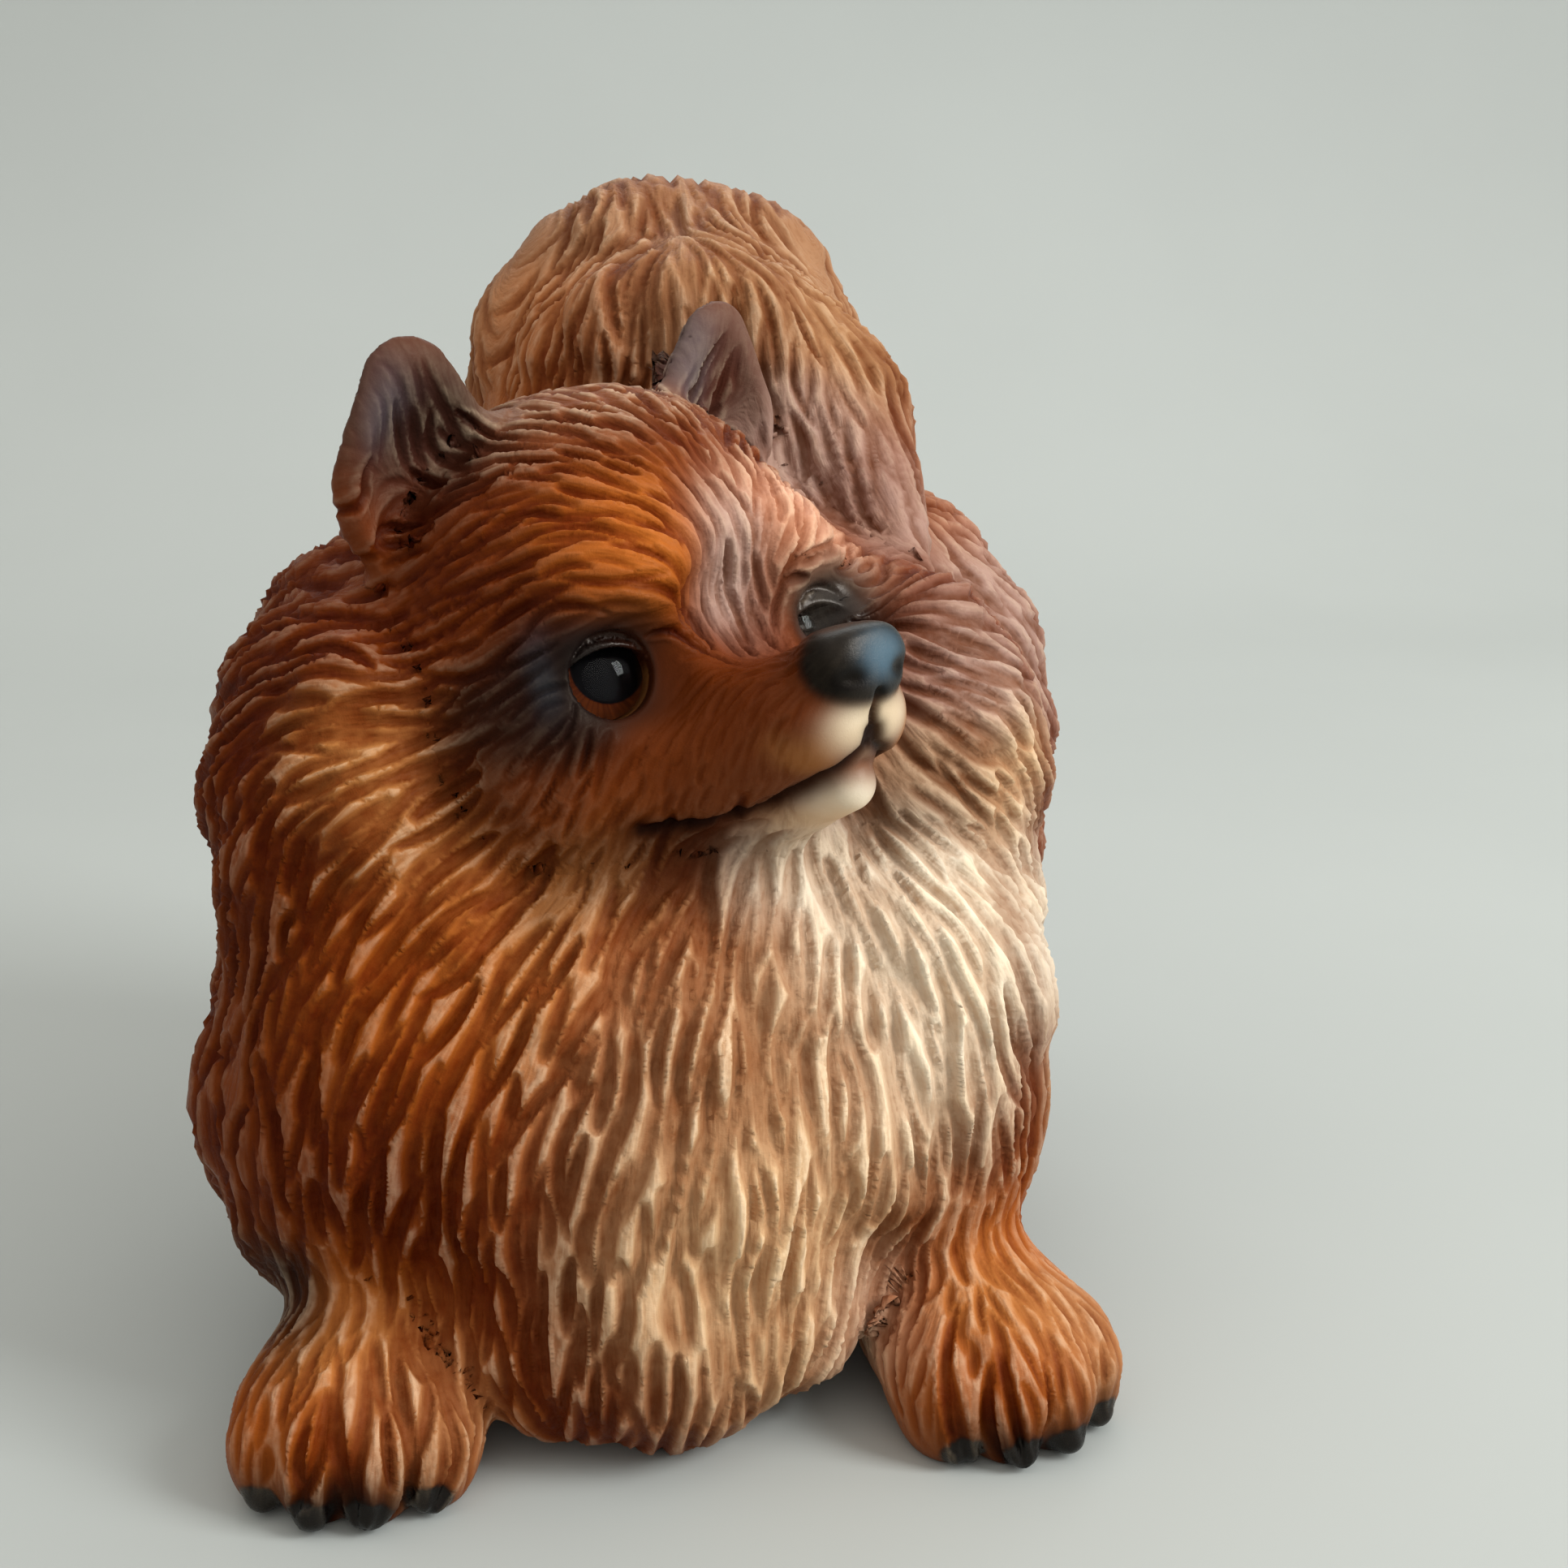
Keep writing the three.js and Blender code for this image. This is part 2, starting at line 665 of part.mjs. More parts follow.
// Trunk
function trunkShapes() {
  const haunches = [-1, 1].map((side) => ({
    at: [HAUNCH.middle + side * HAUNCH.spread, HAUNCH.back, HAUNCH.height],
    half: HAUNCH.half,
  }));
  const fore = [CHEST, BIB, SHOULDER_RIGHT, SHOULDER_LEFT, MANE, RUFF_RIGHT, RUFF_LEFT];
  return [BARREL, RUMP, ...haunches, ...fore];
}

function trunkSolid() {
  const shapes = trunkShapes();
  const smooth = blend(BREAST_BLEND, blend(TRUNK_BLEND, ...shapes.map(fieldOf)), ellipsoid(BREAST));
  const field = furred(smooth, COAT_PARTING);
  const lines = linesRound([...shapes, BREAST], TRUNK_BLEND, TRUNK_CELL);
  return solidOf(thinned(surfaceOf(field, lines), field, BODY_TOLERANCE));
}

// Head
function directionOf(facing, raised) {
  const around = THREE.MathUtils.degToRad(facing);
  const up = THREE.MathUtils.degToRad(raised);
  return new THREE.Vector3(Math.sin(around) * Math.cos(up), -Math.cos(around) * Math.cos(up), Math.sin(up));
}

// Height of the glass above its flat back
function glassHeight() {
  return GLASS.skirt + GLASS.domeRadius - Math.sqrt(GLASS.domeRadius ** 2 - GLASS.radius ** 2);
}

// The frame of one eye: its origin is the middle of the glass's flat back, +Z looks out
function eyeFrame(side) {
  const direction = directionOf(side * EYE.facing, EYE.raised);
  const front = new THREE.Vector3(side * EYE.front[0], EYE.front[1], EYE.front[2]);
  return frameAlong(front.addScaledVector(direction, -glassHeight()), direction);
}

function lathed(profile) {
  const points = profile.map(([radius, height]) => new THREE.Vector2(radius, height));
  return new THREE.LatheGeometry(points, EYE_SIDES).rotateX(Math.PI / 2);
}

function glassGeometry() {
  const centre = glassHeight() - GLASS.domeRadius;
  const edge = Math.acos(GLASS.radius / GLASS.domeRadius);
  const profile = [[0, 0], [GLASS.radius, 0]];
  const steps = 4;
  for (let i = 0; i < steps; i += 1) {
    const angle = mix(edge, Math.PI / 2, i / steps);
    profile.push([GLASS.domeRadius * Math.cos(angle), centre + GLASS.domeRadius * Math.sin(angle)]);
  }
  profile.push([0, glassHeight()]);
  return lathed(profile);
}

function irisGeometry() {
  const top = -JOINT_GAP;
  const low = top - IRIS_THICKNESS;
  return lathed([[0, low], [GLASS.radius, low], [GLASS.radius, top], [0, top]]);
}

// Room for one eye: a round bore, open to the front
function eyePocket(side) {
  const radius = GLASS.radius + JOINT_GAP;
  const low = -2 * JOINT_GAP - IRIS_THICKNESS;
  const high = glassHeight() + LID.radius;
  return solidFrom(lathed([[0, low], [radius, low], [radius, high], [0, high]]), eyeFrame(side));
}

// The ball of the lids round one eye
function lidBall() {
  const centre = new THREE.Vector3(...EYE.front);
  centre.addScaledVector(directionOf(EYE.facing, EYE.raised), -LID.setBack);
  return { at: centre.toArray(), half: [LID.radius, LID.radius, LID.radius] };
}

function headField() {
  const skull = blend(HEAD_BLEND, ellipsoid(SKULL), ellipsoid(CHEEK), ellipsoid(BROW), limb(MUZZLE));
  const face = blend(JAW_BLEND, blend(LIP_BLEND, skull, limb(LIP)), limb(JAW));
  const stopped = carve(STOP_BLEND, face, ellipsoid(STOP));
  const hollowed = carve(HOLLOW_BLEND, stopped, ellipsoid(EYE_HOLLOW));
  const nosed = blend(NOSE_BLEND, hollowed, ellipsoid(NOSE));
  return mirrored(blend(LID_BLEND, nosed, ellipsoid(lidBall())));
}

function neckSeat() {
  const slope = THREE.MathUtils.degToRad(NECK_SEAT.slope);
  const direction = new THREE.Vector3(0, Math.cos(slope), -Math.sin(slope));
  return frameAlong(direction.clone().multiplyScalar(NECK_SEAT.depth), direction);
}

function headCasting() {
  const shapes = [SKULL, CHEEK, twinOf(CHEEK), MUZZLE, LIP, twinOf(LIP), JAW, NOSE];
  const chin = { ...JAW, root: MUZZLE.tip, rootRadius: JAW.tipRadius };
  const fineShapes = [lidBall(), twinOf(lidBall()), NOSE, chin];
  const lines = linesRound(shapes, HEAD_BLEND, HEAD_CELL, fineShapes, FACE_CELL);
  return seatedCasting(headField(), lines, FACE_TOLERANCE, neckSeat(), NECK_SEAT);
}

// Ears, in the head's frame
function earField(side) {
  const facing = THREE.MathUtils.degToRad(side * EAR_FACING);
  const cos = Math.cos(facing);
  const sin = Math.sin(facing);
  const height = EAR.tip[2] - EAR.root[2];
  const leanOut = (EAR.tip[0] - EAR.root[0]) / height;
  const leanBack = (EAR.tip[1] - EAR.root[1]) / height;
  const upright = (rootRadius, tipRadius, start) => limb({
    root: [0, 0, start],
    tip: [0, 0, height],
    rootRadius,
    tipRadius,
  });
  const shell = upright(EAR.rootRadius, EAR.tipRadius, 0);
  const cup = upright(EAR.rootRadius - EAR_RIM, EAR.tipRadius - EAR_RIM, -1);
  const share = (1 + EAR_FLATNESS) * EAR_FLATNESS;
  return (x, y, z) => {
    const pz = z - EAR.root[2];
    const px = x - side * (EAR.root[0] + leanOut * pz);
    const py = y - EAR.root[1] - leanBack * pz;
    const across = px * cos + py * sin;
    const through = py * cos - px * sin;
    const outer = shell(across, through / EAR_FLATNESS, pz) * share;
    const hollow = cup(across, (through + EAR_HOLLOW) / EAR_FLATNESS, pz) * share;
    return -softMin(-outer, hollow, EAR_BLEND);
  };
}

function earCasting(side) {
  const lines = linesRound([side < 0 ? twinOf(EAR) : EAR], EAR_BLEND, EAR_CELL);
  const slope = THREE.MathUtils.degToRad(EAR_SEAT.slope);
  const seat = frameAlong(
    new THREE.Vector3(side * EAR.root[0], EAR.root[1], EAR.root[2] - EAR_SEAT.depth),
    new THREE.Vector3(-side * Math.sin(slope), 0, -Math.cos(slope)),
  );
  return seatedCasting(earField(side), lines, EAR_TOLERANCE, seat, EAR_SEAT);
}

// Tail
function onRump(place) {
  return place.map((value, i) => RUMP.at[i] + value);
}

function tailShapes() {
  return [PLUME, ARCH, TAIL_ROOT, LONG_LOCK].map((shape) => {
    if (shape.root) {
      return { ...shape, root: onRump(shape.root), tip: onRump(shape.tip) };
    }
    return { ...shape, at: onRump(shape.at) };
  });
}

function tailCasting() {
  const shapes = tailShapes();
  const parting = { ...PLUME_PARTING, middle: onRump(PLUME_PARTING.middle) };
  const field = furred(blend(TAIL_BLEND, ...shapes.map(fieldOf)), parting);
  const lines = linesRound(shapes, TAIL_BLEND, TAIL_CELL);
  const seatAt = onRump([0, PLUME.at[1], TAIL_SEAT.height]);
  const seat = frameAlong(new THREE.Vector3(...seatAt), new THREE.Vector3(0, 0, -1));
  return seatedCasting(field, lines, BODY_TOLERANCE, seat, TAIL_SEAT);
}

// Legs, each in its own frame
function legShapes(leg) {
  const scaled = (values) => values.map((value) => value * leg.size);
  const column = {
    root: scaled([0, ANKLE.back, ANKLE.height]),
    tip: leg.elbow,
    rootRadius: ANKLE.radius * leg.size,
    tipRadius: ELBOW_RADIUS * leg.size,
  };
  const toes = TOE_PLACES.map((place) => {
    const reach = TOE.reach + TOE.fall * (Math.abs(place) - 0.5);
    const clawHalf = [CLAW.radius, CLAW.radius, CLAW.radius];
    return {
      toe: { at: scaled([place * TOE.spacing, reach, TOE.height]), half: scaled(TOE.half) },
      claw: { at: scaled([place * TOE.spacing, reach + CLAW.reach, CLAW.height]), half: scaled(clawHalf) },
    };
  });
  return { column, paw: { at: scaled(PAW.at), half: scaled(PAW.half) }, toes };
}

function legCasting(leg) {
  const { column, paw, toes } = legShapes(leg);
  const clawed = toes.map(({ toe, claw }) => blend(CLAW_BLEND, fieldOf(toe), fieldOf(claw)));
  const foot = blend(TOE_BLEND, ...clawed);
  const field = blend(FOOT_BLEND, blend(PAW_BLEND, fieldOf(paw), fieldOf(column)), foot);
  const fine = toes.flatMap(({ toe, claw }) => [toe, claw]);
  const lines = linesRound([column, paw, ...fine], PAW_BLEND, LEG_CELL, fine, TOE_CELL);
  const seatShare = (LEG_SEAT.height - ANKLE.height) / (leg.elbow[2] - ANKLE.height);
  const seat = frameAlong(
    new THREE.Vector3(leg.elbow[0] * seatShare, mix(ANKLE.back, leg.elbow[1], seatShare), LEG_SEAT.height),
    new THREE.Vector3(0, 0, 1),
  );
  const { casting, pocket } = seatedCasting(field, lines, FACE_TOLERANCE, seat, LEG_SEAT);
  const floor = frameAlong(new THREE.Vector3(0, 0, SOLE_CUT), new THREE.Vector3(0, 0, -1));
  return { casting: casting.subtract(beyondSeat(floor)), pocket };
}

// Assembly
function headGroupAt() {
  const group = new THREE.Group();
  const euler = new THREE.Euler(
    THREE.MathUtils.degToRad(-HEAD.lift),
    THREE.MathUtils.degToRad(-HEAD.tilt),
    THREE.MathUtils.degToRad(HEAD.turn),
    'ZXY',
  );
  group.rotation.copy(euler);
  group.position.set(...MANE.at.map((value, i) => value + HEAD.fromMane[i]));
  group.updateMatrix();
  return group;
}

function buildHead(group) {
  const { casting, pocket } = headCasting();
  let head = casting;
  const sides = [['right', -1], ['left', 1]];
  const earPockets = [];
  for (const [name, side] of sides) {
    const ear = earCasting(side);
    head = head.subtract(ear.pocket).subtract(eyePocket(side));
    earPockets.push(ear.pocket);
    group.add(castingMesh(`${name}_ear`, ear.casting, RESIN));
    const glass = meshOf(`${name}_eye_glass`, glassGeometry(), GLASS_LOOK);
    const iris = meshOf(`${name}_eye_iris`, irisGeometry(), IRIS_LOOK);
    for (const piece of [glass, iris]) {
      eyeFrame(side).decompose(piece.position, piece.quaternion, piece.scale);
      group.add(piece);
    }
  }
  group.add(castingMesh('head_casting', head, RESIN));
  return [pocket, ...earPockets].map((taken) => moved(taken, group.matrix));
}

function buildLeg(name, leg) {
  const group = new THREE.Group();
  group.position.set(leg.at[0], leg.at[1], -SOLE_CUT);
  group.rotation.z = THREE.MathUtils.degToRad(leg.turn);
  group.updateMatrix();
  const { casting, pocket } = legCasting(leg);
  group.add(castingMesh(name, casting, RESIN));
  return { group, pocket: moved(pocket, group.matrix) };
}

function buildFigurine() {
  const figurine = new THREE.Group();
  const headGroup = headGroupAt();
  figurine.add(headGroup);
  let trunk = trunkSolid();
  const { casting: tail, pocket: tailPocket } = tailCasting();
  let plume = tail;
  for (const pocket of buildHead(headGroup)) {
    trunk = trunk.subtract(pocket);
    plume = plume.subtract(pocket);
  }
  trunk = trunk.subtract(tailPocket);
  const legs = {
    right_foreleg: FORELEG_RIGHT,
    left_foreleg: FORELEG_LEFT,
    right_hindleg: HINDLEG_RIGHT,
    left_hindleg: HINDLEG_LEFT,
  };
  for (const [name, leg] of Object.entries(legs)) {
    const built = buildLeg(name, leg);
    trunk = trunk.subtract(built.pocket);
    figurine.add(built.group);
  }
  figurine.add(castingMesh('tail_plume', plume, RESIN));
  figurine.add(castingMesh('trunk_casting', trunk, RESIN));
  figurine.updateMatrixWorld(true);
  const box = new THREE.Box3().setFromObject(figurine, true);
  const centre = box.getCenter(new THREE.Vector3());
  figurine.position.set(-centre.x, -centre.y, -box.min.z);
  return figurine;
}

export default buildFigurine();
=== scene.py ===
"""Hand-painted cast dog figurine: a fluffy toy-breed dog with a carved coat and glass eyes.

The coat is modelled clay: soft masses blended into one form, gouged along the lie of the hair, and
then airbrushed, washed in the grooves and dry-brushed on the ridges. Shapes are in millimetres in
the figurine's own frame: +Z is up, the dog faces -Y and its left side is +X. The head has a frame
of its own, with its origin in the middle of the skull and -Y towards the nose.
"""
import math

import bpy
import numpy as np
from mathutils import Matrix, Vector


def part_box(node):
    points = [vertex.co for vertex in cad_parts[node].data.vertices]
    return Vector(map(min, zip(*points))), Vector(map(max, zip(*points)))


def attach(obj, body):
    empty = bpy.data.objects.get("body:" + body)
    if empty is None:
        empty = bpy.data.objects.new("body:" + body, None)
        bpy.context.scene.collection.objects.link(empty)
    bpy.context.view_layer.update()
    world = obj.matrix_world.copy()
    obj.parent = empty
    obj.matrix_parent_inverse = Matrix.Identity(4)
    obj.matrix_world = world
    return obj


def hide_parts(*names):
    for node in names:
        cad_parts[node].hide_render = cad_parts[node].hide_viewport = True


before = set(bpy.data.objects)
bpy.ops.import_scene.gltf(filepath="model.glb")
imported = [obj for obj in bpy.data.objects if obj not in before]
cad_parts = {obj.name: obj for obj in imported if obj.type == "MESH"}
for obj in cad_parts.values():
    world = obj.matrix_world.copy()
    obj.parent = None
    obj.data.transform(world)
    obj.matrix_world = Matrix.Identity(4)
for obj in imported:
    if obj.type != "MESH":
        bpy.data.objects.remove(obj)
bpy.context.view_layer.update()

MM = 0.001
SEED = 11
PHOTO_SIDE = 1932

# Forms of the castings: an ellipsoid is a centre and three half widths, a limb two round ends
CHEST = ((-2, -15, 38.5), (49.5, 27.5, 35))
BIB = ((-1, -24, 34), (-2.5, -33, 14.6), 21, 12.6)
BIB_FOOT = ((-3, -32, 14.2), (25, 12.5, 12.7))
SHOULDER_RIGHT = ((-34, -6, 30), (19, 24, 26))
SHOULDER_LEFT = ((28, -8, 28), (17, 22, 24))
BARREL = ((2, 14, 52), (50, 42, 40))
RUMP = ((11, 38, 66), (50, 36, 43))
HAUNCH_RIGHT = ((-21, 36, 38), (21, 26, 27))
HAUNCH_LEFT = ((37, 36, 38), (21, 26, 27))
MANE = ((-6, 8, 77), (43, 27, 31))
RUFF_RIGHT = ((-32.5, -9, 68.5), (18.5, 22, 26.5))
RUFF_LEFT = ((31, -6, 72), (17, 18, 23))
BREAST = ((27, -18, 50), (18.5, 17.5, 18.5))
TRUNK_BLEND = 10
BREAST_BLEND = 3.5
BIB_FOOT_BLEND = 6

# Pointed locks in staggered rows: the rows run round a parting, given by its middle, the way it
# faces and the distance at which the rows are spaced
LOCK_WIDTH = 13
LOCK_LENGTH = 22
LOCK_RISE = 1.3
LOCK_FULLEST = 0.55
LOCK_ENDING = 0.8
LOCK_POINT = 0.45
LOCK_STAGGER = 0.38
LOCK_SWAY = 0.3
COAT_PARTING = ((0, 8, 58), (0.08, -0.8, 0.6), 50)
PLUME_PARTING = ((8, 44, 110), (0.1, 0.25, 0.96), 28)

HEAD_AT = (-3.4, -5.1, 86.5)
HEAD_TURN = 32.5
HEAD_LIFT = 12
HEAD_TILT = 4
SKULL = ((0, 1, 3.2), (27.5, 25.5, 28.4))
CHEEK = ((14.5, -4, -10), (14.5, 17, 15))
BROW = ((10, -17.5, 8.5), (8.2, 5.6, 4.8))
STOP = ((0, -27, 4), (8.5, 6, 5.6))
MUZZLE = ((0, -15, -11.5), (0, -36.5, -7.6), 11.5, 6.2)
LIP = ((8, -18, -13.5), (3.1, -37, -9.8), 7.5, 4.6)
JAW = ((0, -16, -17), (0, -36.6, -16.3), 8.5, 3.1)
NOSE = ((0, -40.9, -3.6), (6, 5.6, 5))
NOSE_FRONT = -44.9
NOSE_TOP = 0.4
NOSE_EDGE = 1.6
EYE_HOLLOW = ((15.5, -25, -0.8), (7, 6, 6.4))
HEAD_BLEND = 8
LIP_BLEND = 4
JAW_BLEND = 1.2
STOP_BLEND = 5
HOLLOW_BLEND = 3
NOSE_BLEND = 1.5
LID_BLEND = 2

EYE_FRONT = (14.9, -19.7, -0.8)
EYE_FACING = 15
EYE_RAISED = 6
GLASS_RADIUS = 4.6
DOME_RADIUS = 4.9
GLASS_SKIRT = 1.2
IRIS_DEPTH = 0.7
LID_RADIUS = 6.1
LID_SET_BACK = 5.4
EYE_ROOM = 0.15
SOCKET_FLOOR = 1.4
SOCKET_EDGE = 0.5
HOOD_INNER = 5.05
HOOD_OUTER = 6.15
HOOD_EDGE = 2.9
HOOD_BOW = 0.07
HOOD_ROUNDING = 0.5
HOOD_BLEND = 0.6

EAR_ROOT = (20, 1.2, 22)
EAR_TIP = (21.2, -2, 32.9)
EAR_ROOT_RADIUS = 11
EAR_TIP_RADIUS = 5.7
EAR_FLATNESS = 0.4
EAR_FACING = 4
EAR_RIM = 2.1
EAR_HOLLOW = 3.4
EAR_EDGE = 1
CUP_DROP = 1

PLUME = ((8, 50, 112), (28.5, 18.5, 31))
PLUME_LEAN = -10
ARCH = ((10, 36, 107), (23.5, 14, 27))
ARCH_LEAN = 14
TAIL_ROOT = ((9, 62, 96), (8, 52, 112), 14, 19)
LONG_LOCK = ((28, 30, 108), (34, 7, 93.5), 11, 2.4)
TAIL_BLEND = 10

LEGS = {
    "right_foreleg": {"at": (-35, -33.5), "turn": -9, "elbow": (-1, 14, 34), "size": 1},
    "left_foreleg": {"at": (36.5, -32), "turn": 17, "elbow": (0, 13, 32), "size": 1},
    "right_hindleg": {"at": (-22, 32), "turn": -6, "elbow": (0, 11, 34), "size": 0.96},
    "left_hindleg": {"at": (37, 32), "turn": 8, "elbow": (0, 11, 34), "size": 0.96},
}
PAW = ((0, 1, 9.2), (13.4, 14.5, 10.4))
TOE_HALF = (4.9, 7.2, 7.4)
TOE_SPACING = 6
TOE_REACH = -8.6
TOE_FALL = 3.1
TOE_HEIGHT = 7
CLAW_REACH = -5.4
CLAW_HEIGHT = 3.6
CLAW_RADIUS = 1.9
ANKLE = (0, 13, 9)
ANKLE_RADIUS = 9.4
ELBOW_RADIUS = 12
SOLE_CUT = 1.2
TOE_PLACES = (-1.5, -0.5, 0.5, 1.5)
PAW_BLEND = 7
TOES_BLEND = 3
TOE_BLEND = 1
CLAW_BLEND = 0.8
GROUND_EDGE = 0.6


# Small helpers on arrays of points, one row each
def row(*values):
    return np.array(values, np.float32)


def lengths(vectors):
    return np.sqrt((vectors * vectors).sum(-1))


def units(vectors):
    return vectors / np.maximum(lengths(vectors), 1e-6)[..., None]


def smooth_step(low, high, value):
    share = np.clip((value - low) / (high - low), 0, 1)
    return share * share * (3 - 2 * share)


def turned(turn, lift=0, tilt=0):
    """Rotation that tilts about Y, then lifts about X, then turns about Z, in degrees."""
    matrix = Matrix.Rotation(math.radians(turn), 3, "Z")
    matrix = matrix @ Matrix.Rotation(math.radians(-lift), 3, "X")
    matrix = matrix @ Matrix.Rotation(math.radians(-tilt), 3, "Y")
    return np.array(matrix, np.float32)


HEAD_TURNED = turned(HEAD_TURN, HEAD_LIFT, HEAD_TILT)


def to_head(points):
    return (points - row(*HEAD_AT)) @ HEAD_TURNED


def from_head(points):
    return np.asarray(points, np.float32) @ HEAD_TURNED.T + row(*HEAD_AT)


def to_leg(points, leg):
    return (points - row(*leg["at"], -SOLE_CUT)) @ turned(leg["turn"])


# Fields: the signed distance, about, from each point to a form
def ellipsoid(points, form, lean=0):
    centre, half = form
    local = points - row(*centre)
    if lean:
        local = local @ np.array(Matrix.Rotation(math.radians(lean), 3, "X"), np.float32)
    half = row(*half)
    near = lengths(local / half)
    slope = lengths(local / (half * half)) + 1e-9
    return near * (near - 1) / slope


def limb(points, form):
    """Two balls and the cone that touches both."""
    root, tip, root_radius, tip_radius = form
    root, tip = row(*root), row(*tip)
    span = float(lengths(tip - root))
    axis = (tip - root) / span
    sine = (root_radius - tip_radius) / span
    cosine = math.sqrt(1 - sine * sine)
    local = points - root
    along = local @ axis
    across = lengths(local - along[:, None] * axis)
    foot = along - across * sine / cosine
    side = across * cosine + along * sine - root_radius
    near = np.sqrt(across * across + along * along) - root_radius
    far = np.sqrt(across * across + (along - span) ** 2) - tip_radius
    return np.where(foot < 0, near, np.where(foot > span, far, side))


def soft_min(a, b, width):
    overlap = np.maximum(width - np.abs(a - b), 0) / width
    return np.minimum(a, b) - overlap * overlap * width * 0.25


def soft_max(a, b, width):
    return -soft_min(-a, -b, width)


def blend(width, first, *others):
    total = first
    for other in others:
        total = soft_min(total, other, width)
    return total


def mirrored(points):
    """Points with X made positive, so that one side stands for both."""
    return points * row(0, 1, 1) + np.abs(points) * row(1, 0, 0)


def trunk_field(points):
    masses = (BARREL, RUMP, CHEST, MANE, RUFF_RIGHT, RUFF_LEFT, SHOULDER_RIGHT, SHOULDER_LEFT,
              HAUNCH_RIGHT, HAUNCH_LEFT)
    trunk = blend(TRUNK_BLEND, *(ellipsoid(points, mass) for mass in masses), limb(points, BIB))
    trunk = soft_min(trunk, ellipsoid(points, BIB_FOOT), BIB_FOOT_BLEND)
    return soft_min(trunk, ellipsoid(points, BREAST), BREAST_BLEND)


def tail_field(points):
    return blend(
        TAIL_BLEND,
        ellipsoid(points, PLUME, PLUME_LEAN),
        ellipsoid(points, ARCH, ARCH_LEAN),
        limb(points, TAIL_ROOT),
        limb(points, LONG_LOCK),
    )


def toe_reach(place):
    """How far forward a toe stands: the two in the middle lead."""
    return TOE_REACH + TOE_FALL * (abs(place) - 0.5)


def claw_place(place):
    return (place * TOE_SPACING, toe_reach(place) + CLAW_REACH, CLAW_HEIGHT)


CLAWS = [(leg, claw_place(place)) for leg in LEGS.values() for place in TOE_PLACES]


def leg_field(points, leg):
    size = leg["size"]
    local = to_leg(points, leg) / size
    elbow = tuple(value / size for value in leg["elbow"])
    column = limb(local, (ANKLE, elbow, ANKLE_RADIUS, ELBOW_RADIUS))
    paw = soft_min(ellipsoid(local, PAW), column, PAW_BLEND)
    toes = []
    for place in TOE_PLACES:
        toe = ellipsoid(local, ((place * TOE_SPACING, toe_reach(place), TOE_HEIGHT), TOE_HALF))
        claw = lengths(local - row(*claw_place(place))) - CLAW_RADIUS
        toes.append(soft_min(toe, claw, CLAW_BLEND))
    return soft_min(paw, blend(TOE_BLEND, *toes), TOES_BLEND) * size


def direction_of(facing, raised):
    around, up = math.radians(facing), math.radians(raised)
    return row(math.sin(around) * math.cos(up), -math.cos(around) * math.cos(up), math.sin(up))


# The eye of the mirrored head frame: its outlook, its sideways and upward directions, its places
EYE_OUT = direction_of(EYE_FACING, EYE_RAISED)
EYE_SIDE = units(np.cross(row(0, 0, 1), EYE_OUT))
EYE_UP = np.cross(EYE_OUT, EYE_SIDE)
GLASS_HEIGHT = GLASS_SKIRT + DOME_RADIUS - math.sqrt(DOME_RADIUS**2 - GLASS_RADIUS**2)
GLASS_BACK = row(*EYE_FRONT) - EYE_OUT * GLASS_HEIGHT
DOME_CENTRE = row(*EYE_FRONT) - EYE_OUT * DOME_RADIUS
LID_CENTRE = row(*EYE_FRONT) - EYE_OUT * LID_SET_BACK


def eye_place(points):
    """Where points of the mirrored head frame lie from the dome's centre: across, up and out."""
    local = points - DOME_CENTRE
    return np.stack([local @ EYE_SIDE, local @ EYE_UP, local @ EYE_OUT], 1)


def face_field(points):
    head = mirrored(points)
    masses = [ellipsoid(head, mass) for mass in (SKULL, CHEEK, BROW)]
    face = blend(HEAD_BLEND, *masses, limb(head, MUZZLE))
    face = soft_min(face, limb(head, LIP), LIP_BLEND)
    face = soft_min(face, limb(head, JAW), JAW_BLEND)
    face = soft_max(face, -ellipsoid(head, STOP), STOP_BLEND)
    face = soft_max(face, -ellipsoid(head, EYE_HOLLOW), HOLLOW_BLEND)
    nose = soft_max(ellipsoid(head, NOSE), NOSE_FRONT - head[:, 1], NOSE_EDGE)
    nose = soft_max(nose, head[:, 2] - NOSE_TOP, NOSE_EDGE)
    face = soft_min(face, nose, NOSE_BLEND)
    face = soft_min(face, lengths(head - LID_CENTRE) - LID_RADIUS, LID_BLEND)
    across, up, out = eye_place(head).T
    bore = np.sqrt(across**2 + up**2) - (GLASS_RADIUS + EYE_ROOM)
    floor = -(out + DOME_RADIUS - GLASS_HEIGHT + GLASS_SKIRT + SOCKET_FLOOR)
    face = soft_max(face, -np.maximum(bore, floor), SOCKET_EDGE)
    # The upper lid hangs over the dome as part of a thin shell
    reach = lengths(head - DOME_CENTRE)
    shell = np.maximum(reach - HOOD_OUTER, HOOD_INNER - reach)
    below = HOOD_EDGE - HOOD_BOW * across**2 - up
    hood = soft_max(np.maximum(shell, -out), below, HOOD_ROUNDING)
    return soft_min(face, hood, HOOD_BLEND)


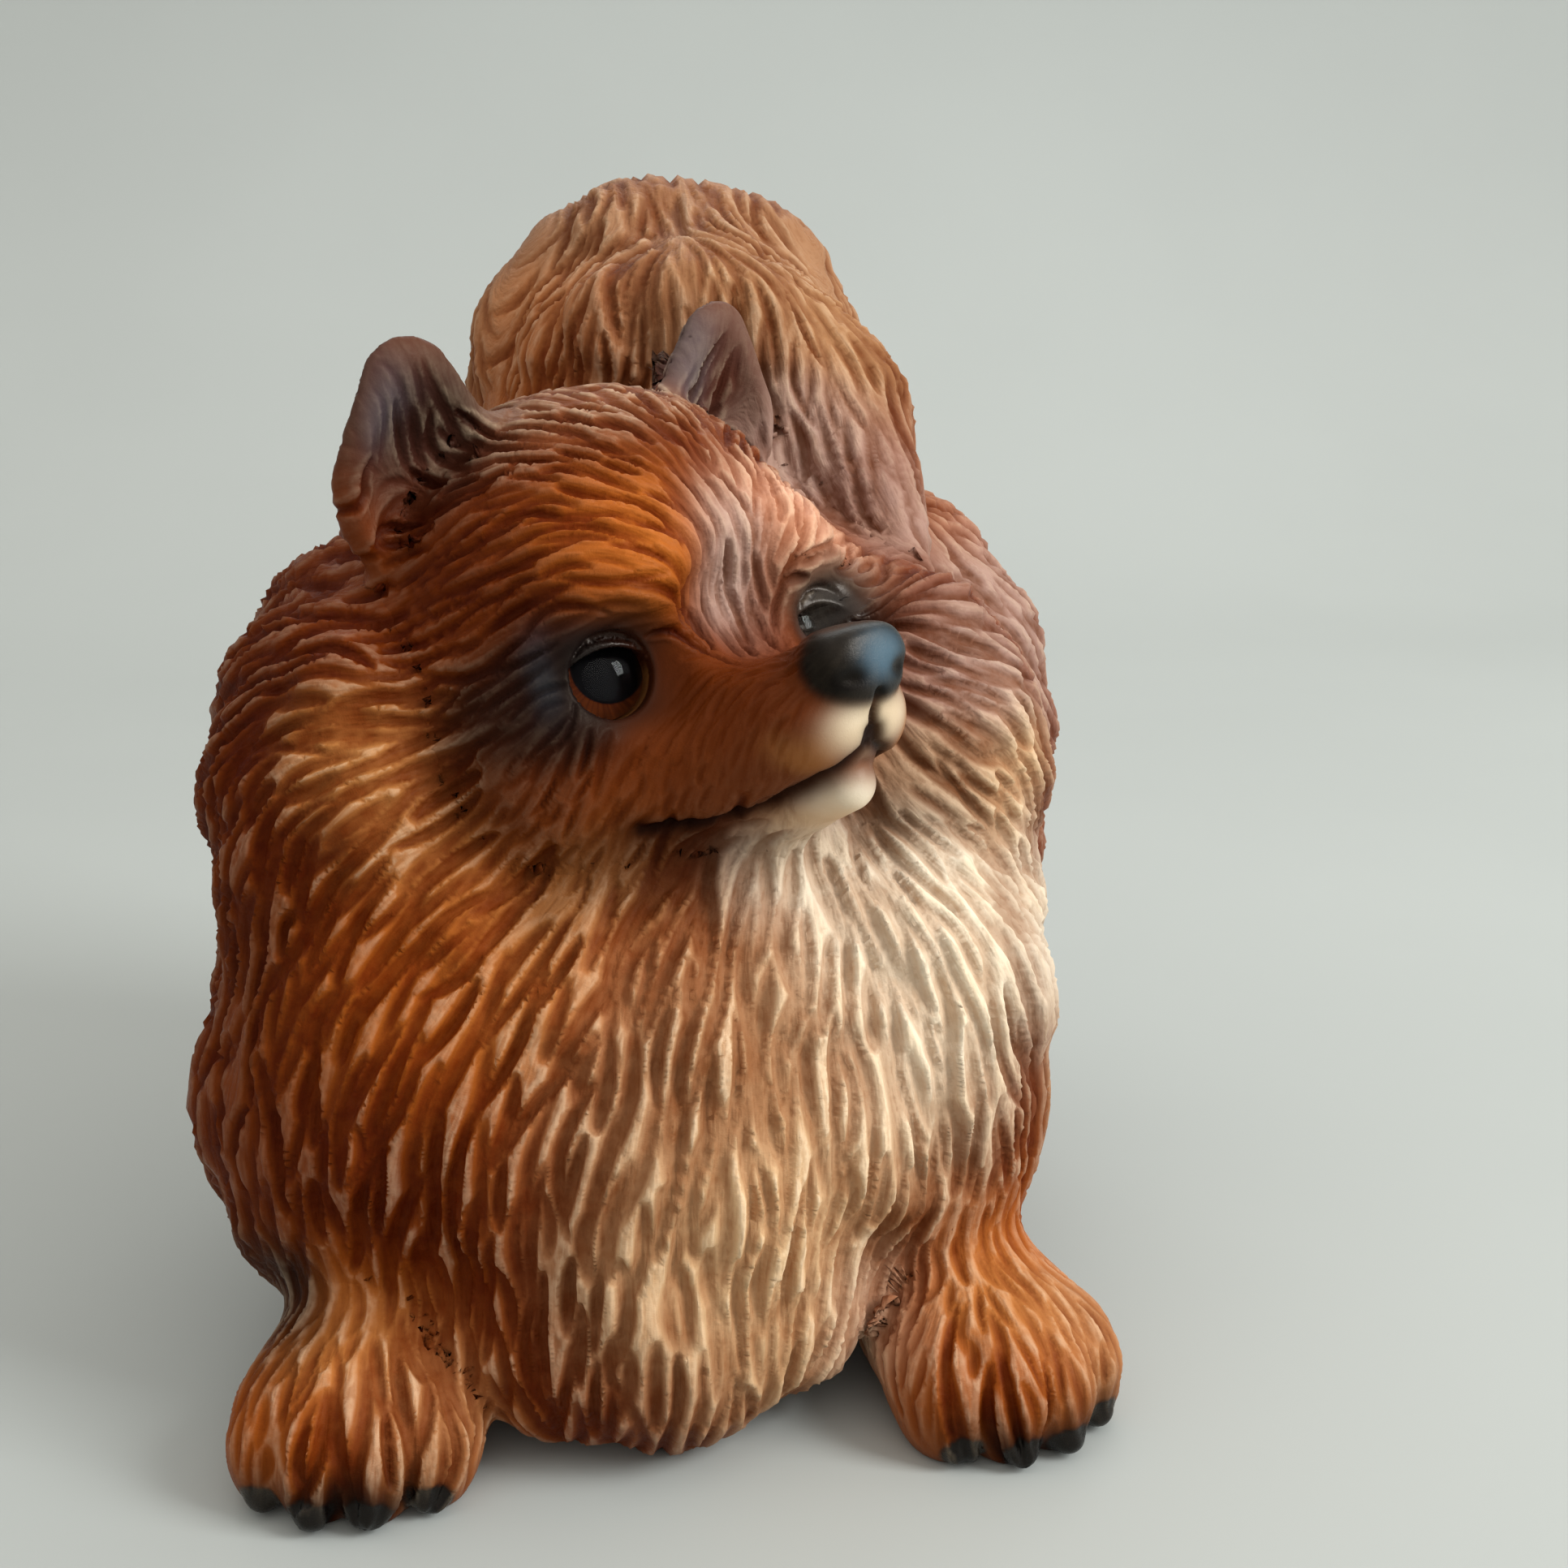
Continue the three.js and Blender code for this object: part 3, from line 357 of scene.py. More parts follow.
def ear_forms(points, side):
    """The outer form of an ear and the hollow in its front, in a frame that follows its lean."""
    facing = math.radians(side * EAR_FACING)
    height = EAR_TIP[2] - EAR_ROOT[2]
    up = points[:, 2] - EAR_ROOT[2]
    aside = points[:, 0] - side * (EAR_ROOT[0] + (EAR_TIP[0] - EAR_ROOT[0]) / height * up)
    back = points[:, 1] - EAR_ROOT[1] - (EAR_TIP[1] - EAR_ROOT[1]) / height * up
    across = aside * math.cos(facing) + back * math.sin(facing)
    through = back * math.cos(facing) - aside * math.sin(facing)
    share = (1 + EAR_FLATNESS) * EAR_FLATNESS
    shell_at = np.stack([across, through / EAR_FLATNESS, up], 1)
    cup_at = np.stack([across, (through + EAR_HOLLOW) / EAR_FLATNESS, up], 1)
    shell = limb(shell_at, ((0, 0, 0), (0, 0, height), EAR_ROOT_RADIUS, EAR_TIP_RADIUS))
    cup_radii = (EAR_ROOT_RADIUS - EAR_RIM, EAR_TIP_RADIUS - EAR_RIM)
    cup = limb(cup_at, ((0, 0, -CUP_DROP), (0, 0, height), *cup_radii))
    return shell * share, cup * share


def ear_field(points, side):
    shell, cup = ear_forms(points, side)
    return soft_max(shell, -cup, EAR_EDGE)


CASTINGS = {
    "trunk_casting": trunk_field,
    "head_casting": lambda points: face_field(to_head(points)),
    "right_ear": lambda points: ear_field(to_head(points), -1),
    "left_ear": lambda points: ear_field(to_head(points), 1),
    "tail_plume": tail_field,
}
for leg_name, leg_facts in LEGS.items():
    CASTINGS[leg_name] = lambda points, leg=leg_facts: leg_field(points, leg)

# How softly the filler rounds the seam where each casting meets the rest
SEAM_BLEND = {"head_casting": 5, "right_ear": 2.5, "left_ear": 2.5, "tail_plume": 5}
LEG_BLEND = 3

# A ball round each casting but the trunk, beyond which its form is not worked out
BALL_ROOM = 8
BALLS = {
    "head_casting": (from_head((0, -7, 0)), 42),
    "right_ear": (from_head((-20.6, -0.4, 27.5)), 19),
    "left_ear": (from_head((20.6, -0.4, 27.5)), 19),
    "tail_plume": (row(10, 44, 108), 49),
}
for leg_name, leg_facts in LEGS.items():
    BALLS[leg_name] = (row(0, 5, 20) @ turned(leg_facts["turn"]).T + row(*leg_facts["at"], 0), 34)


def casting_values(points):
    """The distance, about, from each point to each casting."""
    values = {"trunk_casting": trunk_field(points)}
    for name, (centre, radius) in BALLS.items():
        away = lengths(points - centre) - radius
        near = np.flatnonzero(away < BALL_ROOM)
        value = np.maximum(away, BALL_ROOM)
        value[near] = CASTINGS[name](points[near])
        values[name] = value
    return values


def whole_of(values, points):
    """The figurine with its seams filled, standing on the ground."""
    total = values["trunk_casting"]
    for name in BALLS:
        total = soft_min(total, values[name], SEAM_BLEND.get(name, LEG_BLEND))
    return soft_max(total, -points[:, 2], GROUND_EDGE)


def whole_field(points):
    return whole_of(casting_values(points), points)


def share_of(name, values):
    """Negative where a casting owns the material, by how much nearer its own form is."""
    return values[name] - np.minimum.reduce([values[other] for other in values if other != name])


# Meshes from fields, which are negative inside
CORNERS = [(i & 1, (i >> 1) & 1, i >> 2) for i in range(8)]
JUST_INSIDE = -1e-3
JUST_OUTSIDE = 0.1
LEAST_STEEPNESS = 0.25
LONG_EDGE = 1.5
SLOPE_REACH = 0.05


def without(axis):
    return [other for other in range(3) if other != axis]


def is_joined(mask):
    """Whether the corners of a cell that a bit mask marks are joined by the cell's edges."""
    reached = mask & -mask
    for _ in range(8):
        for corner in range(8):
            for bit in (1, 2, 4):
                pair = (1 << corner) | (1 << (corner ^ bit))
                if mask & pair == pair and reached & pair:
                    reached |= pair
    return reached == mask


ONE_SHEET = np.array([is_joined(mask) and is_joined(~mask & 255) for mask in range(256)])


def grid_values(field, axes):
    """The field on a grid, one slice at a time, with the grid's own rim outside the form."""
    ys, zs = np.meshgrid(axes[1], axes[2], indexing="ij")
    slices = []
    for x in axes[0]:
        points = np.stack([np.full(ys.size, x, np.float32), ys.ravel(), zs.ravel()], 1)
        slices.append(field(points).reshape(ys.shape))
    values = np.stack(slices)
    for axis in range(3):
        for end in (0, -1):
            rim = np.moveaxis(values, axis, 0)[end]
            np.maximum(rim, JUST_OUTSIDE, out=rim)
    return values


def fill_crossings(values):
    """Fills each cell that two sheets of the surface would cross, so that none touch."""
    while True:
        inside = values < 0
        nx, ny, nz = (n - 1 for n in values.shape)
        mask = np.zeros((nx, ny, nz), np.int32)
        for bit, (i, j, k) in enumerate(CORNERS):
            mask |= inside[i:, j:, k:][:nx, :ny, :nz].astype(np.int32) << bit
        crossed = np.argwhere(~ONE_SHEET[mask])
        if len(crossed) == 0:
            return
        for cell in crossed:
            corners = [tuple(cell + corner) for corner in CORNERS]
            outside = [corner for corner in corners if values[corner] >= 0]
            if outside:
                values[min(outside, key=lambda corner: values[corner])] = JUST_INSIDE


def surface_of(field, low, high, cell):
    """A closed triangle mesh of the field's surface: one point in each cell that it crosses."""
    axes = [np.arange(low[axis], high[axis] + cell, cell, dtype=np.float32) for axis in range(3)]
    values = grid_values(field, axes)
    fill_crossings(values)
    points, number, crossings = cell_points(values)
    points = points.astype(np.float32) * cell + row(*(a[0] for a in axes))
    return points, faces_between(values, points, number, crossings)


def cell_points(values):
    """A point in each crossed cell, each cell's point number, and the crossed grid edges."""
    cells = tuple(n - 1 for n in values.shape)
    total = np.zeros(cells + (3,), np.float32)
    count = np.zeros(cells, np.float32)
    crossings = []
    for axis in range(3):
        turned_values = np.moveaxis(values, axis, 0)
        start, end = turned_values[:-1], turned_values[1:]
        crossed = (start < 0) != (end < 0)
        share = np.where(crossed, start / np.where(crossed, start - end, 1), 0)
        crossed, share = (np.moveaxis(a, 0, axis) for a in (crossed, share))
        crossings.append(crossed)
        u, v = without(axis)
        for du in (0, 1):
            for dv in (0, 1):
                cut = [slice(None)] * 3
                cut[u] = slice(du, du + cells[u])
                cut[v] = slice(dv, dv + cells[v])
                hit = crossed[tuple(cut)]
                count += hit
                total[..., axis] += share[tuple(cut)]
                total[..., u] += du * hit
                total[..., v] += dv * hit
    used = count > 0
    number = np.full(cells, -1, np.int64)
    number[used] = np.arange(used.sum())
    points = np.argwhere(used) + total[used] / count[used][:, None]
    return points, number, crossings


def faces_between(values, points, number, crossings):
    """Two triangles across each crossed edge of the grid, split along the shorter diagonal."""
    cells = number.shape
    quads = []
    for axis, crossed in enumerate(crossings):
        u, v = (axis + 1) % 3, (axis + 2) % 3
        at = np.argwhere(crossed)
        within = (at[:, u] > 0) & (at[:, v] > 0) & (at[:, u] < cells[u]) & (at[:, v] < cells[v])
        at = at[within]
        ring = []
        for du, dv in ((0, 0), (-1, 0), (-1, -1), (0, -1)):
            cell_at = at.copy()
            cell_at[:, u] += du
            cell_at[:, v] += dv
            ring.append(number[tuple(cell_at.T)])
        quad = np.stack(ring, 1)
        outward = values[tuple(at.T)] < 0
        quads.append(np.where(outward[:, None], quad, quad[:, ::-1]))
    quads = np.concatenate(quads)
    corners = points[quads]
    slim = lengths(corners[:, 0] - corners[:, 2]) > lengths(corners[:, 1] - corners[:, 3])
    quads[slim] = np.roll(quads[slim], 1, axis=1)
    return np.concatenate([quads[:, [0, 1, 2]], quads[:, [0, 2, 3]]])


def slope_at(field, points):
    slope = np.empty_like(points)
    for axis in range(3):
        step = np.zeros(3, np.float32)
        step[axis] = SLOPE_REACH
        slope[:, axis] = field(points + step) - field(points - step)
    return slope / (2 * SLOPE_REACH)


def whole_normals(points):
    return units(slope_at(whole_field, points))


def settled(field, points):
    """Points moved down or up the field's slope, close to its surface."""
    slope = slope_at(field, points)
    steepness = np.maximum((slope * slope).sum(1), LEAST_STEEPNESS)
    return points - (field(points) / steepness)[:, None] * slope


def refined(points, faces, spacing, field, rounds):
    """Halves each edge that is long for its place and settles the new points on the field."""
    for _ in range(rounds):
        ends = np.sort(faces[:, [0, 1, 1, 2, 2, 0]].reshape(-1, 2), axis=1)
        keys = ends[:, 0] * len(points) + ends[:, 1]
        unique, first, back = np.unique(keys, return_index=True, return_inverse=True)
        edges = ends[first]
        middle = points[edges].mean(1)
        long = lengths(points[edges[:, 0]] - points[edges[:, 1]]) > LONG_EDGE * spacing(middle)
        if not long.any():
            break
        number = np.full(len(unique), -1, np.int64)
        number[long] = len(points) + np.arange(long.sum())
        points = np.concatenate([points, settled(field, middle[long])])
        faces = split_faces(faces, number[back].reshape(-1, 3))
    return points, faces


def split_faces(faces, middles):
    """Splits triangles at the middles of their marked edges; an unmarked edge has -1."""
    marked = middles >= 0
    count = marked.sum(1)
    kept = [faces[count == 0]]
    for wanted in (1, 2):
        chosen = np.flatnonzero(count == wanted)
        odd = marked[chosen] if wanted == 1 else ~marked[chosen]
        shift = odd.argmax(1) if wanted == 1 else (odd.argmax(1) + 1) % 3
        order = (shift[:, None] + np.arange(3)) % 3
        a, b, c = np.take_along_axis(faces[chosen], order, 1).T
        m, n, _ = np.take_along_axis(middles[chosen], order, 1).T
        if wanted == 1:
            kept += [np.stack([a, m, c], 1), np.stack([m, b, c], 1)]
        else:
            kept += [np.stack(t, 1) for t in ((m, b, n), (a, m, n), (a, n, c))]
    a, b, c = faces[count == 3].T
    m, n, o = middles[count == 3].T
    kept += [np.stack(t, 1) for t in ((a, m, o), (m, b, n), (o, n, c), (m, n, o))]
    return np.concatenate(kept)


# Entries of the tables below
def on(where, *entries):
    """Entries of a table whose places are all in one frame: the body's, the head's or a leg's."""
    return [(where, *entry) for entry in entries]


def on_side(side, values):
    return (side * values[0], *values[1:])


def both(at, *rest):
    """The same entry on either side of its frame, the dog's right side first."""
    return [(on_side(side, at), *rest) for side in (-1, 1)]


def both_ways(at, reach, pull, carving):
    """A stretch of coat on either side, with the pull of its hair mirrored too."""
    return [(on_side(side, at), reach, None, on_side(side, pull), carving) for side in (-1, 1)]


# The lie of the hair. Each stretch of coat has a place and a reach, a point that its hair grows
# away from (or None) and a steady pull, and a kind of carving.
LIE = on(
    "body",
    ((14, -32, 60), 16, (16, -27, 76), (0, -0.2, -0.5), "chest"),
    ((2, -42, 48), 18, (12, -26, 84), (0, 0, -0.6), "chest"),
    ((-22, -38, 52), 16, (2, -24, 86), (-0.2, 0, -0.5), "chest"),
    ((28, -32, 52), 16, (18, -24, 80), (0.2, 0, -0.5), "chest"),
    ((0, -44, 26), 18, (0, -38, 95), (0, 0.1, -0.8), "chest"),
    ((-24, -36, 22), 16, (-6, -30, 90), (0.25, 0, -0.8), "chest"),
    ((20, -34, 20), 14, (26, -30, 90), (-0.4, 0, -0.8), "chest"),
    ((0, -34, 6), 12, None, (0, 0.5, -1), "chest"),
    ((-26, -30, 76), 10, None, (-0.95, 0.3, -0.3), "ruff"),
    ((-24, -33, 64), 10, None, (-0.75, 0.1, -0.65), "ruff"),
    ((-36, -22, 84), 12, None, (-0.8, 0.5, -0.3), "ruff"),
    ((-44, -24, 66), 14, None, (-0.3, 0.2, -0.95), "ruff"),
    ((-44, -25, 44), 18, None, (0.05, 0.1, -1), "ruff"),
    ((-34, -4, 98), 12, None, (-0.6, 0.6, -0.5), "ruff"),
    ((-50, 6, 66), 18, None, (-0.1, 0.6, -0.8), "back"),
    ((34, -20, 84), 10, None, (0.75, 0.3, -0.5), "ruff"),
    ((36, -22, 70), 10, None, (0.7, 0.25, -0.6), "ruff"),
    ((44, -18, 56), 14, None, (0.3, 0.3, -0.9), "ruff"),
    ((42, -18, 34), 16, None, (0, 0.2, -1), "ruff"),
    ((40, -4, 90), 12, None, (0.6, 0.7, -0.4), "ruff"),
    ((50, 24, 80), 16, (20, 30, 112), (0, 0.5, -0.3), "back"),
    ((50, 16, 52), 16, None, (0, 0.7, -0.7), "back"),
    ((-46, 26, 50), 18, None, (0, 0.75, -0.7), "back"),
    ((-34, 30, 88), 16, None, (-0.3, 0.9, -0.4), "back"),
    ((0, 16, 104), 16, None, (0, 1, 0), "back"),
    ((48, 48, 62), 18, (14, 40, 110), (0, 0.3, -0.4), "back"),
    ((10, 74, 70), 20, (11, 46, 112), (0, 0, -0.5), "back"),
    ((-28, 58, 62), 18, (0, 40, 110), (0, 0.2, -0.5), "back"),
    ((-22, 50, 32), 18, None, (0, 0.2, -1), "back"),
    ((40, 50, 32), 18, None, (0, 0.2, -1), "back"),
    ((5, 10, 12), 20, None, (0, 1, 0), "back"),
    ((8, 28, 132), 16, (6, 34, 175), (0, 0, -0.2), "tail"),
    ((-8, 32, 116), 16, (6, 38, 172), (0.1, 0, -0.2), "tail"),
    ((26, 26, 120), 14, (14, 34, 180), (0, 0, -0.2), "tail"),
    ((32, 14, 102), 10, None, (0.25, -0.75, -0.6), "tail"),
    ((-18, 52, 112), 16, None, (0.1, 0.15, 1), "tail"),
    ((36, 52, 112), 16, None, (-0.1, 0.1, 1), "tail"),
    ((8, 70, 108), 18, (9, 66, 70), (0, -0.1, 0.5), "tail"),
    ((8, 46, 142), 12, None, (0, -1, 0), "tail"),
) + on(
    "head",
    ((0, -24, 8), 8, (0, -30, -2), (0, 0.5, 0.6), "brow"),
    ((-12, -21, 16), 10, (4, -30, 2), (-0.2, 0.5, 0), "brow"),
    ((12, -21, 14), 10, (-1, -30, 2), (0.1, 0.5, 0.3), "brow"),
    ((-20, -10, 16), 10, None, (-0.9, 0.6, -0.15), "brow"),
    ((20, -10, 16), 10, None, (0.9, 0.6, 0), "brow"),
    ((0, -8, 28), 14, None, (-0.25, 1, 0), "brow"),
    ((0, 14, 26), 14, None, (0, 1, -0.3), "brow"),
    *both_ways((26, -9, 4), 9, (0.45, 0.9, -0.3), "brow"),
    *both_ways((26, -12, -8), 9, (0.35, 0.7, -0.6), "cheek"),
    *both_ways((20, -20, -14), 9, (0.3, 0.45, -0.85), "cheek"),
    *both_ways((11, -29, -9), 9, (0.2, 0.4, -0.9), "muzzle"),
    ((0, -33, -2), 7, None, (0, 1, 0.25), "muzzle"),
    ((0, -26, -22), 9, None, (0, 0.7, -0.8), "muzzle"),
    *both_ways((21, -4, 30), 6, (0.1, 0, 1), "ear"),
    *both_ways((21, 6, 28), 6, (0, -0.2, 1), "ear"),
)
for leg_facts in LEGS.values():
    LIE += on(
        leg_facts,
        ((0, -2, 20), 10, None, (0, -0.9, -0.6), "leg"),
        ((0, 8, 24), 12, None, (0, 0, -1), "leg"),
        *both_ways((12, 0, 10), 8, (0.1, -0.7, -0.7), "leg"),
    )

# Kinds of carving, in millimetres: distance between gouges, and their length, width and depth
CARVING = {
    "chest": {"apart": 2.05, "length": 15, "width": 1.3, "depth": 1.15},
    "ruff": {"apart": 1.95, "length": 11.5, "width": 1.2, "depth": 1.0},
    "back": {"apart": 2.3, "length": 10, "width": 1.35, "depth": 0.95},
    "tail": {"apart": 1.9, "length": 13, "width": 1.1, "depth": 0.75},
    "brow": {"apart": 1.8, "length": 9, "width": 0.95, "depth": 0.75},
    "cheek": {"apart": 1.7, "length": 6, "width": 0.8, "depth": 0.45},
    "muzzle": {"apart": 1.6, "length": 4.5, "width": 0.6, "depth": 0.26},
    "ear": {"apart": 1.7, "length": 9, "width": 1.0, "depth": 0.6},
    "leg": {"apart": 2.1, "length": 7.5, "width": 1.1, "depth": 0.5},
}
KINDS = list(CARVING)

# How fast a stretch of coat gives way to the next; where their pulls all but cancel, the carving
# fades with them
LIE_FALLOFF = 3
STEADY = (0.15, 0.45)

# The carving rises from nothing between these heights over the ground
CARVED_FROM = (1.5, 8)

# Places that stay smooth: a centre and how far the smoothness reaches, with its edge in shares
SMOOTH = on(
    "head",
    *both((14.9, -19.7, -0.8), 7.5),
    ((0, -43, -3.4), 6.5),
    ((0, -42, -11), 8),
    ((0, -38, -18), 6.5),
)
SMOOTH_EDGE = (0.8, 1.25)

# Ears are carved in their hollow and almost smooth outside it
EAR_NEAR = 1.5
EAR_BACK_CARVED = 0.15
EAR_HOLLOW_EDGE = (0.7, -0.2)


def body_point(where, point):
    """A point given in the frame of the body, the head or a leg, as a point of the body."""
    if where == "body":
        return row(*point)
    if where == "head":
        return from_head(point)
    return row(*point) * where["size"] @ turned(where["turn"]).T + row(*where["at"], -SOLE_CUT)


def frame_of(where):
    """The rotation from the frame of the body, the head or a leg to the body's, by rows."""
    if where == "body":
        return np.eye(3, dtype=np.float32)
    return HEAD_TURNED if where == "head" else turned(where["turn"])


def offset_from(points, where, at):
    return points - body_point(where, at)


def distance_from(points, where, at):
    return lengths(offset_from(points, where, at))


def beyond(distance, reach, edge):
    """Nothing within a reach and one outside it, with a soft edge in shares of the reach."""
    return smooth_step(reach * edge[0], reach * edge[1], distance)


def hair_lie(points, normals):
    """The direction of the hair at each point, the kind of its carving and how steady it is."""
    total = np.zeros_like(points)
    weights = np.zeros(len(points), np.float32)
    nearest = np.zeros(len(points), np.float32)
    kind = np.zeros(len(points), np.int32)
    for where, at, reach, source, pull, carving in LIE:
        distance = distance_from(points, where, at) / reach
        weight = 1 / (1 + distance**2) ** LIE_FALLOFF
        direction = row(*pull) @ frame_of(where).T
        if source is not None:
            direction = direction + units(offset_from(points, where, source))
        total += weight[:, None] * direction
        closer = weight > nearest
        nearest[closer] = weight[closer]
        kind[closer] = KINDS.index(carving)
        weights += weight
    total -= (total * normals).sum(1)[:, None] * normals
    steady = smooth_step(*STEADY, lengths(total) / weights)
    return units(total), kind, steady


def smoothness(points):
    """One where the coat is carved, down to nothing where it stays smooth."""
    carved = smooth_step(*CARVED_FROM, points[:, 2])
    for where, at, reach in SMOOTH:
        carved = carved * beyond(distance_from(points, where, at), reach, SMOOTH_EDGE)
    head = to_head(points)
    for side in (-1, 1):
        shell, cup = ear_forms(head, side)
        hollow = EAR_BACK_CARVED + (1 - EAR_BACK_CARVED) * smooth_step(*EAR_HOLLOW_EDGE, cup)
        carved = np.where(shell < EAR_NEAR, carved * hollow, carved)
    return carved


# Gouges: how many are tried, and how far they vary in spacing, size and course
STROKE_STEPS = 10
GOUGE_REACH = 2.8
PAIR_BATCH = 6000
SEED_TRIES = 70000
SEED_CELL = 8.0
APART_SPREAD = (0.8, 1.25)
ALONG_SHARE = (0.4, 0.62)
SIZE_SPREAD = (0.6, 1.4)
VEER = 0.12
CURL = 0.05

# A gouge's section in shares of its width: a wider and a narrower flank, the width left at its
# ends, how its floor rounds, and where its lip stands
WIDE_SIDE = 1.2
NARROW_SIDE = 0.8
NARROWED = 0.4
FLANK_POWER = 1.8
LIP_AT = 1.1
LIP_WIDTH = 0.35


def carving_values(kind, value):
    return np.array([CARVING[name][value] for name in KINDS], np.float32)[kind]


AROUND = np.array(list(np.ndindex(3, 3, 3))) - 1


def spread(random, limits, shape):
    return random.uniform(*limits, shape).astype(np.float32)


def seeds(points, normals, random):
    """Picks points that keep a distance across the hair and a longer one along it."""
    lie, kind, _ = hair_lie(points, normals)
    apart = carving_values(kind, "apart") * spread(random, APART_SPREAD, len(points))
    along = carving_values(kind, "length") * spread(random, ALONG_SHARE, len(points))
    taken = {}
    chosen = []
    for i in random.permutation(len(points)):
        home = (points[i] // SEED_CELL).astype(int)
        cells = (home + AROUND).tolist()
        near = [j for cell in cells for j in taken.get(tuple(cell), ())]
        if near:
            offset = points[near] - points[i]
            lengthwise = np.abs(offset @ lie[i])
            crosswise = np.sqrt(np.maximum((offset * offset).sum(1) - lengthwise**2, 0))
            if ((lengthwise / along[i]) ** 2 + (crosswise / apart[i]) ** 2).min() < 1:
                continue
        taken.setdefault(tuple(home.tolist()), []).append(i)
        chosen.append(i)
    return points[chosen]


def traced(starts, random):
    """Gouges through the starting points, each a line of points that follows the hair."""
    normals = whole_normals(starts)
    _, kind, steady = hair_lie(starts, normals)
    count = len(starts)
    scatter = spread(random, SIZE_SPREAD, (3, count))
    step = carving_values(kind, "length") * scatter[0] / STROKE_STEPS
    width = carving_values(kind, "width") * np.sqrt(scatter[1])
    depth = carving_values(kind, "depth") * scatter[2] * smoothness(starts) * steady
    veer = random.normal(0, VEER, count).astype(np.float32)
    curl = random.normal(0, CURL, count).astype(np.float32)
    lines = {0: starts}
    for sense in (-1, 1):
        points = starts
        for i in range(1, STROKE_STEPS // 2 + 1):
            normals = whole_normals(points)
            lie, _, _ = hair_lie(points, normals)
            aside = np.cross(normals, lie)
            angle = veer + sense * curl * i
            points = points + (sense * step)[:, None] * (lie + angle[:, None] * aside)
            points = settled(whole_field, points)
            lines[sense * i] = points
    line = np.stack([lines[i] for i in range(-STROKE_STEPS // 2, STROKE_STEPS // 2 + 1)], 1)
    return {"line": line, "width": width, "depth": depth}


# Turns a cell's three numbers into one: at most 1024 cells lie side by side
CELL_KEY = np.array([1, 1 << 10, 1 << 20])


def near_pairs(points, centres, reach):
    """Batches of (point number, centre number) for points within one cell of each centre."""
    low = points.min(0) - 2 * reach
    keys = ((points - low) // reach).astype(np.int64) @ CELL_KEY
    order = np.argsort(keys, kind="stable")
    keys = keys[order]
    for begin in range(0, len(centres), PAIR_BATCH):
        chunk = np.arange(begin, min(begin + PAIR_BATCH, len(centres)))
        home = ((centres[chunk] - low) // reach).astype(np.int64)
        for step in AROUND:
            wanted = (home + step) @ CELL_KEY
            start = np.searchsorted(keys, wanted, "left")
            number = np.searchsorted(keys, wanted, "right") - start
            total = number.sum()
            if total:
                first = np.repeat(np.cumsum(number) - number, number)
                at = np.repeat(start, number) + np.arange(total) - first
                yield order[at], np.repeat(chunk, number)


def gouged(points, normals, strokes):
    """How deep the gouges cut at each point, and how much of a lip they raise, in millimetres."""
    line = strokes["line"]
    starts = line[:, :-1].reshape(-1, 3)
    spans = (line[:, 1:] - line[:, :-1]).reshape(-1, 3)
    stroke = np.repeat(np.arange(len(line)), STROKE_STEPS)
    share = np.tile(np.arange(STROKE_STEPS, dtype=np.float32), len(line)) / STROKE_STEPS
    cut = np.zeros(len(points), np.float32)
    lip = np.zeros(len(points), np.float32)
    square = (spans * spans).sum(1) + 1e-9
    for at, centre in near_pairs(points, starts + spans / 2, GOUGE_REACH):
        offset = points[at] - starts[centre]
        span = spans[centre]
        t = np.clip((offset * span).sum(1) / square[centre], 0, 1)
        offset -= t[:, None] * span
        normal = normals[at]
        offset -= (offset * normal).sum(1)[:, None] * normal
        distance = lengths(offset)
        close = distance < GOUGE_REACH
        at, centre, t, offset = at[close], centre[close], t[close], offset[close]
        side = (np.cross(span[close], normal[close]) * offset).sum(1)
        place = share[centre] + t / STROKE_STEPS
        taper = np.sqrt(np.maximum(4 * place * (1 - place), 0))
        lean = np.where(side > 0, WIDE_SIDE, NARROW_SIDE)
        width = strokes["width"][stroke[centre]] * (NARROWED + (1 - NARROWED) * taper) * lean
        depth = strokes["depth"][stroke[centre]] * taper
        across = distance[close] / width
        np.maximum.at(cut, at, depth * np.maximum(1 - across**2, 0) ** FLANK_POWER)
        np.maximum.at(lip, at, depth * np.exp(-(((across - LIP_AT) / LIP_WIDTH) ** 2)))
    return cut, lip


# Locks and gentle lumps under the carving
def lock_height(points, parting):
    """How far the locks of fur stand out over a smooth coat."""
    middle, towards, radius = parting
    pole = units(row(*towards))
    right = units(np.cross(row(1, 0, 0), pole))
    up = np.cross(pole, right)
    spot = units(points - row(*middle))
    rows = np.arccos(np.clip(spot @ pole, -1, 1)) * radius / LOCK_LENGTH
    first = np.floor(rows)
    along = rows - first
    ring = 2 * math.pi * radius * np.sin((first + 0.5) * LOCK_LENGTH / radius)
    count = np.maximum(1, np.round(ring / LOCK_WIDTH))
    around = np.arctan2(spot @ up, spot @ right) / (2 * math.pi)
    turn = around * count + first * LOCK_STAGGER + LOCK_SWAY * np.sin(math.pi * along)
    across = 2 * np.abs(turn - np.floor(turn) - 0.5)
    side = np.maximum(0, 1 - (across / (1 - LOCK_POINT * along**2)) ** 2)
    ending = 1 - smooth_step(LOCK_ENDING, 1, along)
    return LOCK_RISE * side * smooth_step(0, LOCK_FULLEST, along) * ending


LATTICE = 32
LATTICE_OFFSET = 100


